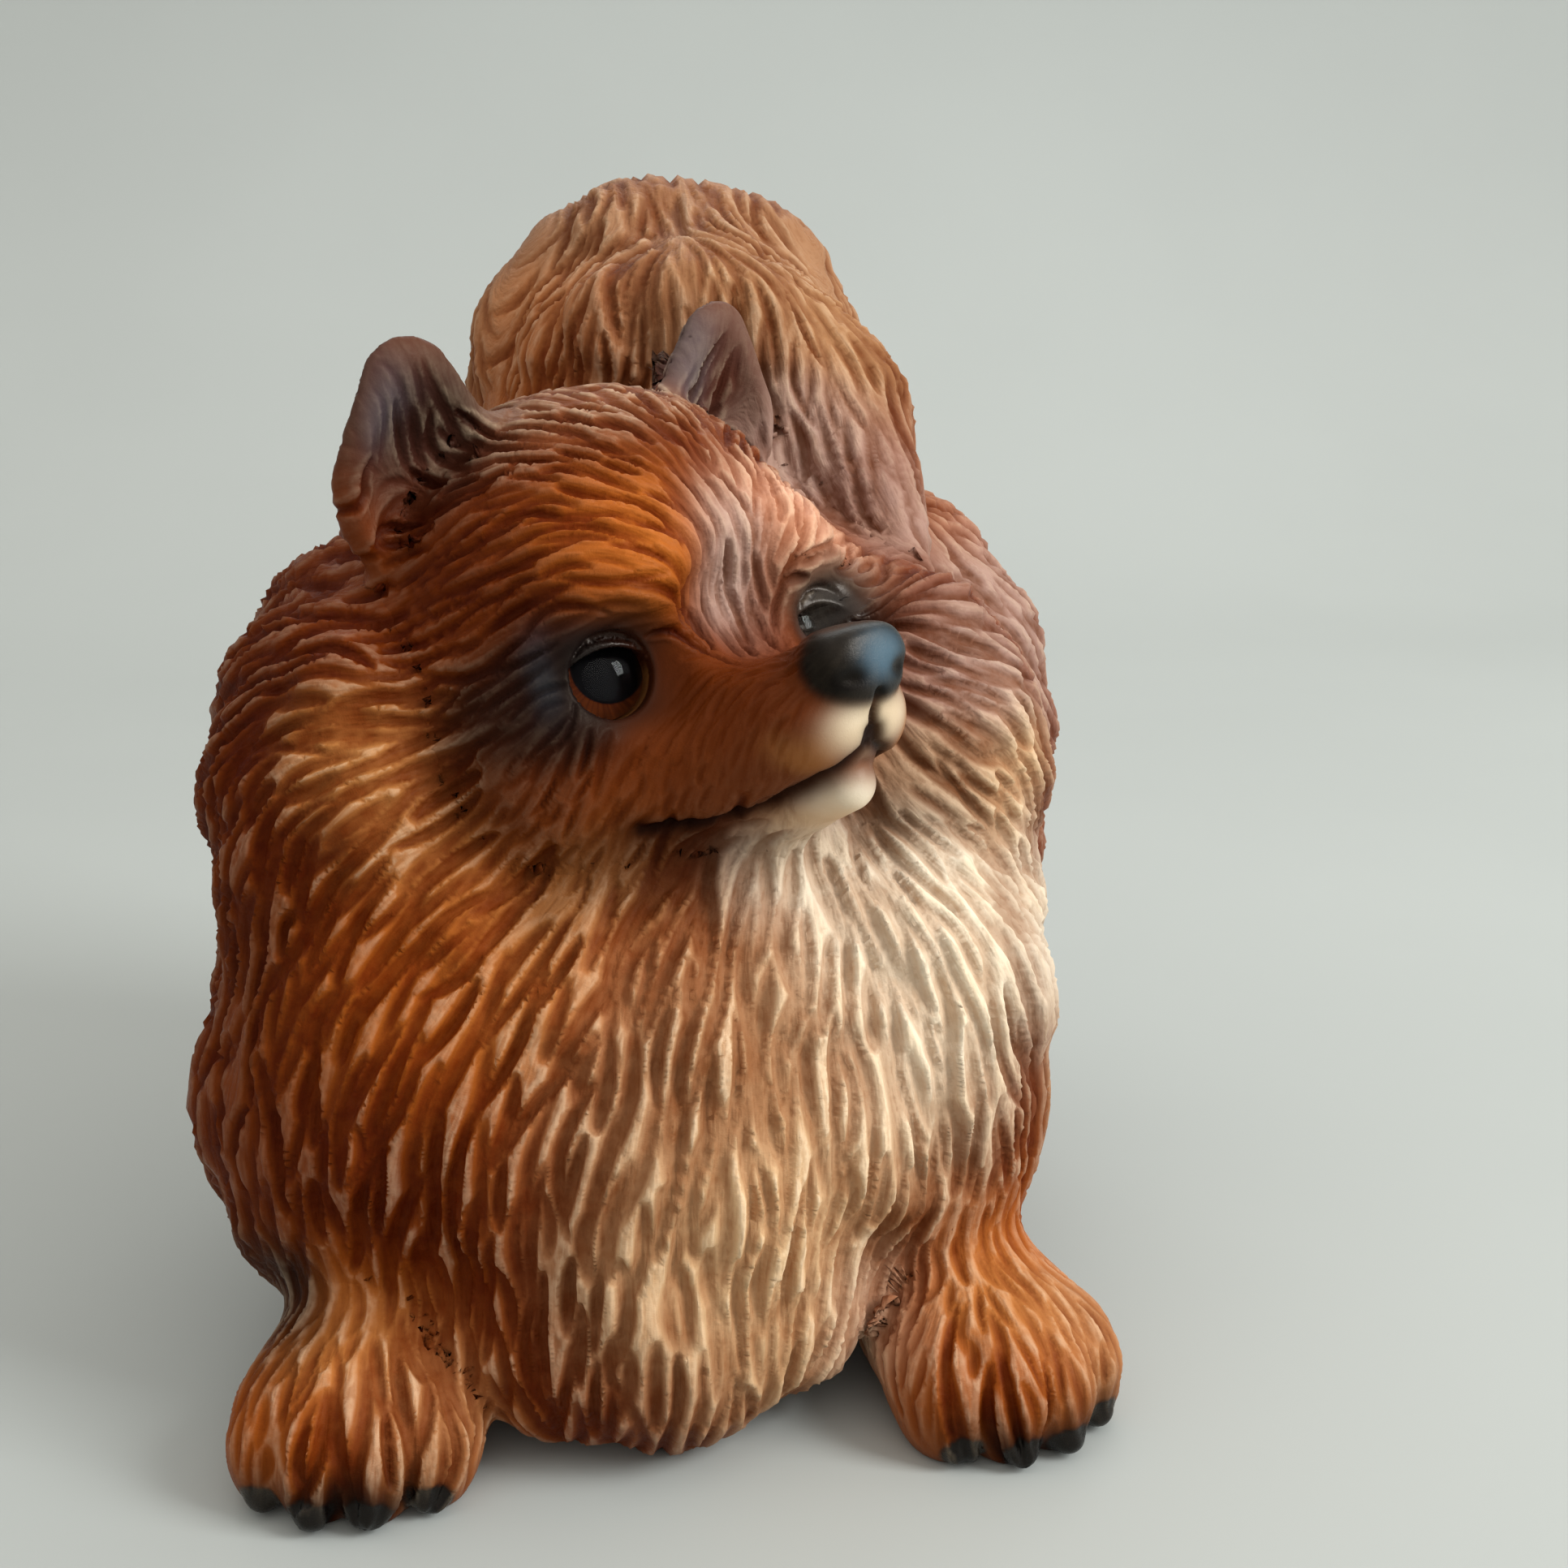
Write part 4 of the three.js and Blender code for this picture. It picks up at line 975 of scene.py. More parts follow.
def lattice_noise(points, size, seed):
    """Smooth noise from -1 to 1 whose waves are about as long as size."""
    table = spread(np.random.default_rng(seed), (-1, 1), (LATTICE, LATTICE, LATTICE))
    scaled = points / size + LATTICE_OFFSET
    base = np.floor(scaled).astype(np.int64)
    part = scaled - base
    part = part * part * (3 - 2 * part)
    total = np.zeros(len(points), np.float32)
    for corner in CORNERS:
        at = (base + np.array(corner)) % LATTICE
        weight = np.prod(np.where(np.array(corner) == 1, part, 1 - part), axis=1)
        total += weight * table[at[:, 0], at[:, 1], at[:, 2]]
    return total


def wander(points, size, amount, seed):
    """Noise for each direction, by which soft edges of the paint stray."""
    noises = [lattice_noise(points, size, seed + axis) for axis in range(3)]
    return np.stack(noises, 1) * amount


# Lines pressed into the face, in the head frame: their points, width and depth
MOUTH_LINE = [
    (0.4, -42.6, -11), (0.7, -41.6, -12.6), (2.4, -40.6, -13.6), (4, -38.2, -14.7),
    (4.8, -34.9, -16.1), (5.9, -31, -17.3), (8, -27.3, -18.2), (10.5, -24.7, -18.4),
    (15.2, -20, -17.9),
]
PHILTRUM = [
    (0, -44.6, -7), (0, -43.1, -8.2), (0, -42.75, -9.5), (0, -42.3, -11), (0, -41.3, -12.6),
]
FACE_LINES = [(MOUTH_LINE, 0.85, 0.95), (PHILTRUM, 0.6, 0.9)]
NOSTRIL = ((3.5, -44, -4.9), (1.7, 1.7, 1.0))
NOSTRIL_DEPTH = 0.8

# A painted golden glint of light where the glass meets the lower lid: a ring round the eye's axis,
# some way out from the dome's centre
EYE_GLINT = {"radius": 4.95, "width": 0.22, "strength": 0.8, "out": 2, "reach": 1.2, "fade": (1, -1)}

# How far the paint strays: wave length, amount and seed
SPRAY_WANDER = (7, 1.6, 21)
DRY_WANDER = (9, 2, 24)
SPRAY_EDGE = 1.5
BRUSH_EDGE = (0.9, 1.1)
VARNISH_EDGE = (0.85, 1.1)
CLAW_BRUSHED = (2.7, 2.9, 2.7)
CLAW_VARNISHED = (2.7, 0.5)

# Paint, as sRGB values from 0 to 255
COLOURS = {
    "black": (11, 9, 9),
    "blue black": (17, 18, 23),
    # Blue-grey for the painted glints and reflections of light on the nose, eyes and ears
    "slate": (90, 122, 142),
    "soot": (34, 11, 4),
    "umber": (80, 31, 6),
    "dark rust": (116, 50, 8),
    "rust": (150, 76, 22),
    "orange": (182, 100, 34),
    "gold": (196, 134, 74),
    "tan": (182, 138, 96),
    "rose": (214, 160, 130),
    "cream": (224, 188, 144),
    "ivory": (246, 234, 210),
    "lip cream": (226, 208, 178),
    "mauve": (188, 162, 150),
    "dark mauve": (86, 62, 58),
    "ear brown": (56, 37, 34),
    "amber": (72, 30, 11),
    "fawn": (172, 130, 94),
    "dry cream": (240, 214, 180),
}

# Airbrush passes in the order they are sprayed, with painted shade, shadows and glints among them:
# place, reach each way, colour and strength
SPRAYS = on(
    "body",
    ((0, 10, 60), (200, 200, 200), "dark rust", 1),
    ((-8, -34, 52), (34, 26, 32), "rust", 0.8),
    ((-12, -36, 58), (20, 16, 16), "orange", 0.85),
    ((-9, -34, 65), (9, 9, 6), "gold", 0.6),
    ((17, -41, 46), (21, 22, 26), "cream", 0.85),
    ((17, -40, 44), (8, 12, 12), "tan", 0.6),
    ((-2, -44, 46), (13, 16, 16), "fawn", 0.75),
    ((5, -43, 26), (16, 14, 16), "cream", 0.8),
    ((10, -36, 12), (12, 12, 8), "cream", 0.6),
    ((21, -31, 14), (8, 9, 9), "ivory", 0.85),
    ((27, -32, 54), (14, 16, 18), "ivory", 0.95),
    ((17, -30, 67), (10, 9, 6), "ivory", 0.85),
    ((31, -27, 66), (9, 9, 6.5), "ivory", 0.85),
    ((18, -40, 47), (7, 10, 10), "tan", 0.5),
    ((-16, -37, 58), (8, 10, 8), "gold", 0.35),
    ((-26, -30, 72), (9, 8, 9), "gold", 0.6),
    ((-31, -29, 81), (10, 9, 7), "gold", 0.9),
    ((-30, -34, 22), (14, 10, 15), "dark rust", 0.7),
    ((-38, -30, 36), (12, 12, 16), "dark rust", 0.5),
    ((-33, -34, 56), (11, 12, 11), "orange", 0.5),
    ((-46, -20, 44), (10, 16, 34), "umber", 0.35),
    ((-40, -14, 92), (14, 16, 10), "umber", 0.2),
    ((-50, 6, 64), (13, 22, 36), "umber", 0.4),
    ((-36, 10, 84), (20, 26, 22), "umber", 0.4),
    ((36, -18, 84), (14, 12, 12), "mauve", 0.9),
    ((29, -24, 77), (8, 8, 6), "cream", 0.6),
    ((42, -20, 73), (9, 9, 8), "cream", 0.85),
    ((44, -18, 55), (9, 12, 14), "ivory", 0.7),
    ((47, -8, 34), (10, 14, 18), "tan", 0.6),
    ((48, 28, 84), (16, 24, 24), "mauve", 0.6),
    ((44, 34, 100), (16, 16, 9), "rust", 0.5),
    ((10, 76, 66), (26, 14, 26), "orange", 0.35),
    ((5, 10, 4), (46, 34, 12), "umber", 0.6),
    # Painted shade low on the right side, behind the right foreleg
    ((-46, -20, 16), (10, 16, 10), "soot", 0.8),
    # Painted shadow of the chin on the top of the chest
    ((7, -29, 70.5), (10, 6, 3.5), "soot", 0.55),
    ((8, 48, 118), (36, 30, 30), "fawn", 0.92),
    ((-12, 34, 122), (12, 14, 16), "orange", 0.45),
    ((-14, 32, 106), (13, 14, 14), "rust", 0.8),
    ((12, 24, 122), (9, 10, 20), "tan", 0.5),
    ((29, 24, 122), (9, 14, 14), "tan", 0.6),
    ((20, 16, 108), (12, 10, 10), "mauve", 0.85),
    ((32, 10, 98), (8, 9, 9), "mauve", 0.6),
) + on(
    "head",
    ((0, -6, 2), (33, 40, 31), "dark rust", 1),
    ((0, -28, -10), (20, 20, 12), "umber", 0.6),
    ((0, -8, 30), (22, 18, 8), "fawn", 0.2),
    ((-10, -21, 13.5), (11, 9, 9), "orange", 0.85),
    ((-21, -5, 15), (9, 12, 10), "umber", 0.3),
    ((12, -22, 12), (9, 9, 9), "rose", 0.9),
    ((22, -17, 6), (6, 8, 8), "rose", 0.85),
    ((1.5, -23, 8), (5, 7, 9), "mauve", 0.78),
    ((0, -30, -1), (6, 8, 4), "dark rust", 0.7),
    ((-24, -13, -9), (9, 12, 10), "umber", 0.85),
    ((24, -13, -9), (9, 12, 10), "umber", 0.8),
    ((-24, -13, -2), (8, 9, 7), "soot", 0.95),
    ((24, -13, -2), (8, 9, 7), "soot", 0.8),
    ((-20.5, -17, -5.5), (5.5, 6, 5), "soot", 0.85),
    # Painted shade under the jaw on either side
    *both((17, -20, -22), (12, 14, 6), "soot", 0.6),
    *both((6.5, -38.5, -11.5), (3.6, 4, 2.6), "gold", 0.4),
    ((0, -43, -9.4), (7, 4, 3.4), "lip cream", 0.95),
    ((0, -38, -17.5), (4.4, 5.5, 2.8), "ivory", 0.9),
    ((0, -33, -19.5), (6, 7, 2.6), "cream", 0.6),
    ((0, -29, -24), (8, 8, 5), "ivory", 0.4),
    ((-17.2, -20, 1.4), (8, 8, 6.8), "blue black", 0.92),
    ((16, -20.5, 0.6), (6.5, 8, 5.8), "blue black", 0.92),
    # Painted blue-grey glints of light beside each eye
    *both((21.8, -17.5, 1.5), (1.5, 3, 4), "slate", 0.14),
    *both((15.1, -21, -0.3), (6.7, 9, 6.4), "black", 0.97),
    ((0, -40, -2), (6.8, 6.5, 5), "black", 0.85),
    ((-21, -1, 31), (13, 9, 12), "ear brown", 0.95),
    ((21, -1, 31), (13, 9, 12), "dark mauve", 0.95),
    # Painted blue-grey highlights in each ear's hollow
    ((-25, -4, 31), (3.5, 3, 6), "slate", 0.15),
    ((17, -4, 32), (3.5, 3, 6), "slate", 0.25),
    ((-19, -3, 28), (5, 3, 7), "soot", 0.6),
    ((22, -3, 29), (4, 3, 6), "umber", 0.6),
    *both((21, 6, 32), (11, 4.5, 11), "umber", 0.7),
    *both((21, -1, 41), (8, 6, 3), "umber", 0.6),
)
for leg_facts in LEGS.values():
    SPRAYS += on(
        leg_facts,
        ((0, 0, 12), (17, 18, 14), "orange", 0.85),
        ((0, -6, 19), (9, 8, 5), "gold", 0.5),
        ((9, -8, 12), (8, 10, 9), "tan", 0.5),
        ((0, -15.5, 2), (16, 7, 7), "black", 0.97),
        ((0, 4, 0), (18, 22, 3), "umber", 0.8),
    )
# Painted shade on the right foreleg's outer side, so that it reads as lying in shadow with the leg
# behind it
SPRAYS += on(
    LEGS["right_foreleg"],
    ((-9, 0, 20), (6.5, 12, 6.5), "soot", 0.92),
    ((-10, 9, 12), (6, 9, 10), "soot", 0.9),
    # Painted shadow line where the chest fur overhangs the paw
    ((3, -9, 21.5), (13, 6, 2.6), "soot", 0.7),
)
for leg_name in ("right_hindleg", "left_hindleg"):
    SPRAYS += on(LEGS[leg_name], ((0, 0, 14), (22, 24, 22), "umber", 0.9))

# Drawn with a fine airbrush: a line of the head frame, colour, width and strength
DRAWN = [(MOUTH_LINE, "soot", 1.35, 0.95), (PHILTRUM, "soot", 0.65, 0.95)]

# Sprayed last, over the brushed black: a painted blue-grey reflection of light on the front of the
# nose, and the black of the nostrils
TOUCHES = on(
    "head",
    # Painted reflection of light on the nose's front
    ((1.2, -46.4, -3), (3.4, 2.6, 3), "slate", 0.8),
    *both((3.5, -44.4, -4.9), (1.8, 2.2, 1.2), "black", 0.95),
)

# Brushed on with a clean edge: place, reach each way and colour
BRUSHED = on("head", ((0, -42, -3.3), (6.8, 5.2, 5), "black"))
BRUSHED += [(leg, at, CLAW_BRUSHED, "black") for leg, at in CLAWS]

# Where the dry brush lightened the ridges: place, reach each way and strength
DRY_BRUSH = on(
    "body",
    ((0, 10, 60), (200, 200, 200), 0.16),
    ((0, -40, 50), (34, 26, 30), 0.3),
    ((20, -38, 46), (22, 22, 30), 0.6),
    ((-28, -28, 78), (14, 12, 13), 0.62),
    ((38, -20, 76), (16, 16, 18), 0.45),
    ((-42, -22, 40), (14, 20, 30), 0.04),
    ((8, 30, 120), (32, 26, 24), 0.22),
) + on(
    "head",
    ((0, -12, 0), (46, 46, 36), 0),
    ((0, -6, 30), (24, 20, 8), 0.32),
    ((12, -20, 14), (12, 12, 12), 0.25),
)
for leg_facts in LEGS.values():
    DRY_BRUSH += on(leg_facts, ((0, -2, 12), (16, 16, 12), 0.35), ((0, -16, 2), (18, 8, 7), 0))

# Places with a gloss varnish: a centre, its reach and how glossy it is
VARNISHED = on(
    "head",
    ((0, -43.2, -3.2), 5.6, 0.35),
    *both((14.9, -21, -0.6), 5.1, 0.5),
    ((0, -43, -12), 7, 0.3),
)
VARNISHED += [(leg, at, *CLAW_VARNISHED) for leg, at in CLAWS]


def linear(colour):
    """A named paint as linear light."""
    share = np.array(COLOURS[colour], np.float32) / 255
    return np.where(share <= 0.04045, share / 12.92, ((share + 0.055) / 1.055) ** 2.4)


def distance_to_line(points, line):
    """Distance from points of the mirrored head frame to a line of points."""
    return np.minimum.reduce([limb(points, (a, b, 0, 0)) for a, b in zip(line, line[1:])])


def face_relief(head):
    """How deep the lines and the nostrils of the face are pressed, in millimetres."""
    depth = np.zeros(len(head), np.float32)
    for line, width, deep in FACE_LINES:
        across = distance_to_line(head, line) / width
        depth = np.maximum(depth, deep * np.exp(-(across**2)))
    centre, half = NOSTRIL
    across = lengths((head - row(*centre)) / row(*half))
    return np.maximum(depth, NOSTRIL_DEPTH * np.exp(-(across**2)))


def scaled_offset(points, where, at, reach):
    """Offsets from a place, in its own frame and in shares of a reach."""
    return offset_from(points, where, at) @ frame_of(where) / row(*reach)


def sprayed(points, where, at, reach):
    """The share of a soft spray that reaches each point."""
    return np.exp(-((scaled_offset(points, where, at, reach) ** 2).sum(1) ** SPRAY_EDGE))


def painted(points):
    """The colour of the paint at each point, painted shade, shadows and glints included, before
    the wash and the dry brush.
    """
    colour = np.zeros_like(points)

    def lay(share, name):
        np.add(colour, share[:, None] * (linear(name) - colour), out=colour)

    strayed = points + wander(points, *SPRAY_WANDER)
    for where, at, reach, name, strength in SPRAYS:
        lay(strength * sprayed(strayed, where, at, reach), name)
    head = mirrored(to_head(points))
    for line, name, width, strength in DRAWN:
        lay(strength * np.exp(-((distance_to_line(head, line) / width) ** 2)), name)
    for where, at, reach, name in BRUSHED:
        distance = lengths(scaled_offset(points, where, at, reach))
        lay(1 - smooth_step(*BRUSH_EDGE, distance), name)
    for where, at, reach, name, strength in TOUCHES:
        lay(strength * sprayed(points, where, at, reach), name)
    # Painted golden glint of light at the lower edge of each glass eye
    lay(EYE_GLINT["strength"] * lid_glint(head), "gold")
    return colour


def lid_glint(head):
    """The share of points of the mirrored head frame that takes the painted golden glint along the
    lower lid.
    """
    across, up, out = eye_place(head).T
    around = (np.sqrt(across**2 + up**2) - EYE_GLINT["radius"]) / EYE_GLINT["width"]
    level = np.abs(out - EYE_GLINT["out"]) < EYE_GLINT["reach"]
    return np.exp(-(around**2)) * smooth_step(*EYE_GLINT["fade"], up) * level


def dry_brushed(points):
    """How strongly the dry brush lightened the ridges at each point."""
    strayed = points + wander(points, *DRY_WANDER)
    total = np.zeros(len(points), np.float32)
    for where, at, reach, strength in DRY_BRUSH:
        total += sprayed(strayed, where, at, reach) * (strength - total)
    return total


def varnish(points):
    gloss = np.zeros(len(points), np.float32)
    for where, at, reach, strength in VARNISHED:
        distance = distance_from(points, where, at) / reach
        gloss = np.maximum(gloss, strength * (1 - smooth_step(*VARNISH_EDGE, distance)))
    return gloss


# The castings of the coat: the name of the piece, the cell of its grid and its slot
PIECES = {
    "trunk_casting": {"piece": "painted_trunk", "cell": 1.05, "slot": "painted_fur"},
    "head_casting": {"piece": "painted_head", "cell": 0.9, "slot": "painted_face"},
    "right_ear": {"piece": "painted_right_ear", "cell": 0.6, "slot": "painted_face"},
    "left_ear": {"piece": "painted_left_ear", "cell": 0.6, "slot": "painted_face"},
    "tail_plume": {"piece": "painted_tail", "cell": 1.0, "slot": "painted_fur"},
}
for leg_name in LEGS:
    PIECES[leg_name] = {"piece": "painted_" + leg_name, "cell": 0.8, "slot": "painted_paw"}

# How close the points of a surface lie, in millimetres: a centre, a reach and the distance there
WIDEST = 1.05
INSIDE_SPACING = 4
REFINE_ROUNDS = 4
FINE_EDGE = (0.8, 1.2)
GRID_MARGIN = 1
MARGIN_CELLS = 3
FINENESS = on(
    "body",
    ((0, -42, 45), 46, 0.5),
    ((-36, -24, 70), 26, 0.55),
    ((38, -20, 76), 20, 0.55),
    ((8, 26, 120), 30, 0.62),
) + on(
    "head",
    ((0, -18, 2), 30, 0.42),
    ((0, -36, -8), 14, 0.32),
    *both((14.9, -19.7, -0.8), 8, 0.24),
    *both((21, 0, 30), 14, 0.42),
)
for leg_facts in LEGS.values():
    FINENESS += on(leg_facts, ((0, -6, 9), 20, 0.45))
PARTINGS = {"trunk_casting": COAT_PARTING, "tail_plume": PLUME_PARTING}

# Castings overlap at a filled seam, where the locks fade and each coat sinks into the next
SEAM_OVERLAP = 1.8
SEAM_EDGE = 0.2
SEAM_SINK = 0.5
SEAM_FALL = 1.2
LOCK_FADE = -6

# Depths in the filled figurine. Below BURIED a point moves along the whole figurine's slope, below
# DEEP no gouge starts, and the carving fades out from CARVED_TO to PAINTED_TO, where paint ends
BURIED = -0.1
DEEP = -0.35
CARVED_TO = -1.6
PAINTED_TO = -2.6

# Gentle lumps: wave length, height and seed. A gouge raises a share of its depth as a lip, unless
# the coat is cut deeper than LIP_LOST there, and nothing moves at the ground.
LUMPS = ((9, 0.5, 31), (4, 0.22, 32))
LIP_SHARE = 0.25
LIP_LOST = 0.5
FLAT_BELOW = 1.2


def spacing_at(points):
    """How far apart the points of the surface may lie at a place."""
    spacing = np.full(len(points), WIDEST, np.float32)
    for where, at, reach, finest in FINENESS:
        coarser = beyond(distance_from(points, where, at), reach, FINE_EDGE)
        spacing = np.minimum(spacing, finest + (WIDEST - finest) * coarser)
    spacing[whole_field(points) < DEEP] = INSIDE_SPACING
    return spacing * 1


def piece_field(name, points):
    values = casting_values(points)
    return soft_max(whole_of(values, points), share_of(name, values) - SEAM_OVERLAP, SEAM_EDGE)


def mesh_normals(points, faces):
    normals = np.zeros_like(points)
    a, b, c = points[faces[:, 0]], points[faces[:, 1]], points[faces[:, 2]]
    face_normals = np.cross(b - a, c - a)
    for corner in range(3):
        np.add.at(normals, faces[:, corner], face_normals)
    return units(normals)


def coat_surface(name, shift):
    """The smooth surface of one casting with its filled seams, as points and triangles."""
    low, high = (np.array(corner, np.float32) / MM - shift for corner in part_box(name))
    cell = PIECES[name]["cell"]
    margin = MARGIN_CELLS * cell + GRID_MARGIN

    def field(points):
        return piece_field(name, points)

    points, faces = surface_of(field, low - margin, high + margin, cell)
    points = settled(field, points)
    return refined(points, faces, spacing_at, field, REFINE_ROUNDS)


def coat_height(name, points, depth, carved, cut, lip, pressed):
    """How far each point moves along its normal, in millimetres."""
    share = share_of(name, casting_values(points))
    height = LIP_SHARE * lip * np.maximum(1 - cut / LIP_LOST, 0) - cut - pressed
    for size, amount, seed in LUMPS:
        height += amount * carved * lattice_noise(points, size, seed)
    parting = PARTINGS.get(name)
    if parting is not None:
        height += lock_height(points, parting) * smooth_step(0, LOCK_FADE, share)
    height -= SEAM_SINK * smooth_step(0, SEAM_FALL, share)
    fade = smooth_step(0, FLAT_BELOW, points[:, 2]) * smooth_step(PAINTED_TO, CARVED_TO, depth)
    return height * fade


def carve_coat(points, faces, name, strokes):
    """Cuts the coat into a smooth surface, and says how each point is to be painted."""
    depth = whole_field(points)
    outer = np.flatnonzero(depth > PAINTED_TO)
    depth, seen, normals = depth[outer], points[outer], mesh_normals(points, faces)[outer]
    buried = depth < BURIED
    normals[buried] = whole_normals(seen[buried])
    carved = smoothness(seen)
    cut, lip = gouged(seen, normals, strokes)
    pressed = face_relief(mirrored(to_head(seen)))
    height = coat_height(name, seen, depth, carved, cut, lip, pressed)
    seen_facts = {
        "paint": painted(seen),
        "lie": hair_lie(seen, normals)[0],
        "cut": np.maximum(cut, pressed),
        "lip": lip,
        "gloss": varnish(seen),
        "hairy": carved,
        "dry": dry_brushed(seen),
    }
    facts = {}
    for key, values in seen_facts.items():
        facts[key] = np.zeros((len(points),) + values.shape[1:], np.float32)
        facts[key][outer] = values
    points = points.copy()
    points[outer] += height[:, None] * normals
    return points, facts


def mesh_object(name, points, faces, facts):
    """A smooth-shaded object, in metres, that holds each fact as an attribute of its points."""
    mesh = bpy.data.meshes.new(name)
    mesh.vertices.add(len(points))
    mesh.vertices.foreach_set("co", np.asarray(points * MM, np.float32).ravel())
    mesh.loops.add(faces.size)
    mesh.loops.foreach_set("vertex_index", np.asarray(faces, np.int32).ravel())
    mesh.polygons.add(len(faces))
    starts = np.arange(0, faces.size, faces.shape[1], dtype=np.int32)
    mesh.polygons.foreach_set("loop_start", starts)
    mesh.polygons.foreach_set("use_smooth", np.ones(len(faces), bool))
    for key, values in facts.items():
        if values.ndim == 2:
            attribute = mesh.attributes.new(key, "FLOAT_VECTOR", "POINT")
            attribute.data.foreach_set("vector", np.ascontiguousarray(values, np.float32).ravel())
        else:
            attribute = mesh.attributes.new(key, "FLOAT", "POINT")
            attribute.data.foreach_set("value", np.ascontiguousarray(values, np.float32))
    mesh.update(calc_edges=True)
    mesh.validate()
    made = bpy.data.objects.new(name, mesh)
    bpy.context.scene.collection.objects.link(made)
    return made


# Materials
class Nodes:
    """Short calls for wiring the nodes of one material."""

    def __init__(self, name):
        self.material = bpy.data.materials.new(name)
        self.material.use_nodes = True
        self.tree = self.material.node_tree
        self.shader = self.tree.nodes["Principled BSDF"]

    def add(self, kind, inputs=None, **settings):
        node = self.tree.nodes.new(kind)
        for key, value in settings.items():
            setattr(node, key, value)
        for key, value in (inputs or {}).items():
            self.put(node.inputs[key], value)
        return node

    def put(self, socket, value):
        if isinstance(value, bpy.types.NodeSocket):
            self.tree.links.new(value, socket)
        else:
            socket.default_value = value

    def finish(self, **values):
        """Sets the shader's sockets, named with underscores for spaces, and gives the material."""
        for key, value in values.items():
            self.put(self.shader.inputs[key.replace("_", " ")], value)
        return self.material

    def math(self, operation, *values):
        inputs = dict(enumerate(values))
        return self.add("ShaderNodeMath", inputs, operation=operation).outputs[0]

    def times(self, *values):
        return self.math("MULTIPLY", *values)

    def vector(self, operation, *values, scale=None):
        inputs = dict(enumerate(values))
        if scale is not None:
            inputs["Scale"] = scale
        node = self.add("ShaderNodeVectorMath", inputs, operation=operation)
        return node.outputs["Value" if operation == "LENGTH" else "Vector"]

    def fact(self, name, output="Fac"):
        return self.add("ShaderNodeAttribute", attribute_name=name).outputs[output]

    def mix(self, share, a, b, mode="MIX"):
        # The sockets of a Mix node for colours have the numbers 0, 6 and 7, and its result is 2
        inputs = {0: share, 6: a, 7: b}
        return self.add("ShaderNodeMix", inputs, data_type="RGBA", blend_type=mode).outputs[2]

    def tint(self, share, paint, colour):
        return self.mix(share, paint, colour, "MULTIPLY")

    def ramp(self, value, low, high, to_low=0.0, to_high=1.0):
        inputs = {
            "Value": value, "From Min": low, "From Max": high, "To Min": to_low, "To Max": to_high,
        }
        return self.add("ShaderNodeMapRange", inputs, interpolation_type="SMOOTHSTEP").outputs[0]

    def noise(self, place, scale, detail=2.0, roughness=0.5):
        inputs = {"Vector": place, "Scale": scale, "Detail": detail, "Roughness": roughness}
        return self.add("ShaderNodeTexNoise", inputs).outputs["Fac"]

    def object_place(self):
        return self.add("ShaderNodeTexCoord").outputs["Object"]


def rgba(colour):
    return (*(float(v) for v in linear(colour)), 1.0)


# The look of the coat: noise scales are in waves to a millimetre, reliefs in millimetres, and
# tints multiply the paint
STREAK_TAPS = range(-4, 5)
STREAK_STEP = 0.26
STREAK_SCALE = 1.9
BLOTCH_SCALE = 0.14
PATCH_SCALE = 0.45
GRAIN_SCALE = 4.0
SPECK_SCALE = 1.7
BLOTCH_TINT = (0.75, 0.62, 0.5, 1)
MARK_TINT = (0.5, 0.34, 0.22, 1)
WASH_TINT = (0.36, 0.15, 0.035, 1)
SPECK_TINT = (0.25, 0.14, 0.08, 1)
SHEEN_TINT = (1, 0.8, 0.6, 1)
WHITE = (1, 1, 1, 1)
STREAK_RELIEF = 0.06
GRAIN_RELIEF = 0.03

# Ramps of the coat: a cause runs between the first two values, and its effect between the last
# two, or between nothing and one
STREAK_RAMP = (0.4, 0.6)
RIDGE_RAMP = (0.3, 0.0)
LIP_RAMP = (0.1, 0.8, 0.25, 1.0)
BRUSH_STREAKS = (0.0, 0.9, 0.6, 1.0)
BRUSH_PATCHES = (0.3, 0.6, 0.6, 1.15)
GROOVE_RAMP = (0.06, 0.75)
WASH_ON_PALE = (0.05, 0.6, 0.92, 0.48)
WASH_PATCHES = (0.3, 0.7, 1.0, 0.75)
BLOTCH_RAMP = (0.35, 0.65, 0.0, 0.4)
MARK_RAMP = (0.5, 0.0)
MARK_STRENGTH = 0.2
SPECK_RAMP = (0.7, 0.76)
SPECK_STRENGTH = 0.35
GRAIN_ROUGHNESS = (0.3, 0.7, 0.36, 0.5)
GROOVE_ROUGHNESS = 0.12
VARNISH_ROUGHNESS = (0.0, 1.0, 1.0, 0.25)
VARNISH_SHEEN = (0.0, 1.0, 0.07, 0.4)


def hair_streaks(n, place):
    """Noise drawn out along the lie of the hair."""
    lie = n.fact("lie", "Vector")
    streak = 0.0
    for tap in STREAK_TAPS:
        spot = n.vector("ADD", place, n.vector("SCALE", lie, scale=tap * STREAK_STEP))
        streak = n.math("ADD", streak, n.noise(spot, STREAK_SCALE, 1.0))
    return n.ramp(n.math("DIVIDE", streak, len(STREAK_TAPS)), *STREAK_RAMP)


def dry_brush(n, paint, streak, patch):
    """Pale paint that catches the ridges between the gouges."""
    ridge = n.times(n.ramp(n.fact("cut"), *RIDGE_RAMP), n.ramp(n.fact("lip"), *LIP_RAMP))
    share = n.times(n.times(ridge, n.fact("dry")), n.ramp(streak, *BRUSH_STREAKS))
    share = n.times(share, n.ramp(patch, *BRUSH_PATCHES))
    return n.mix(share, paint, rgba("dry cream"))


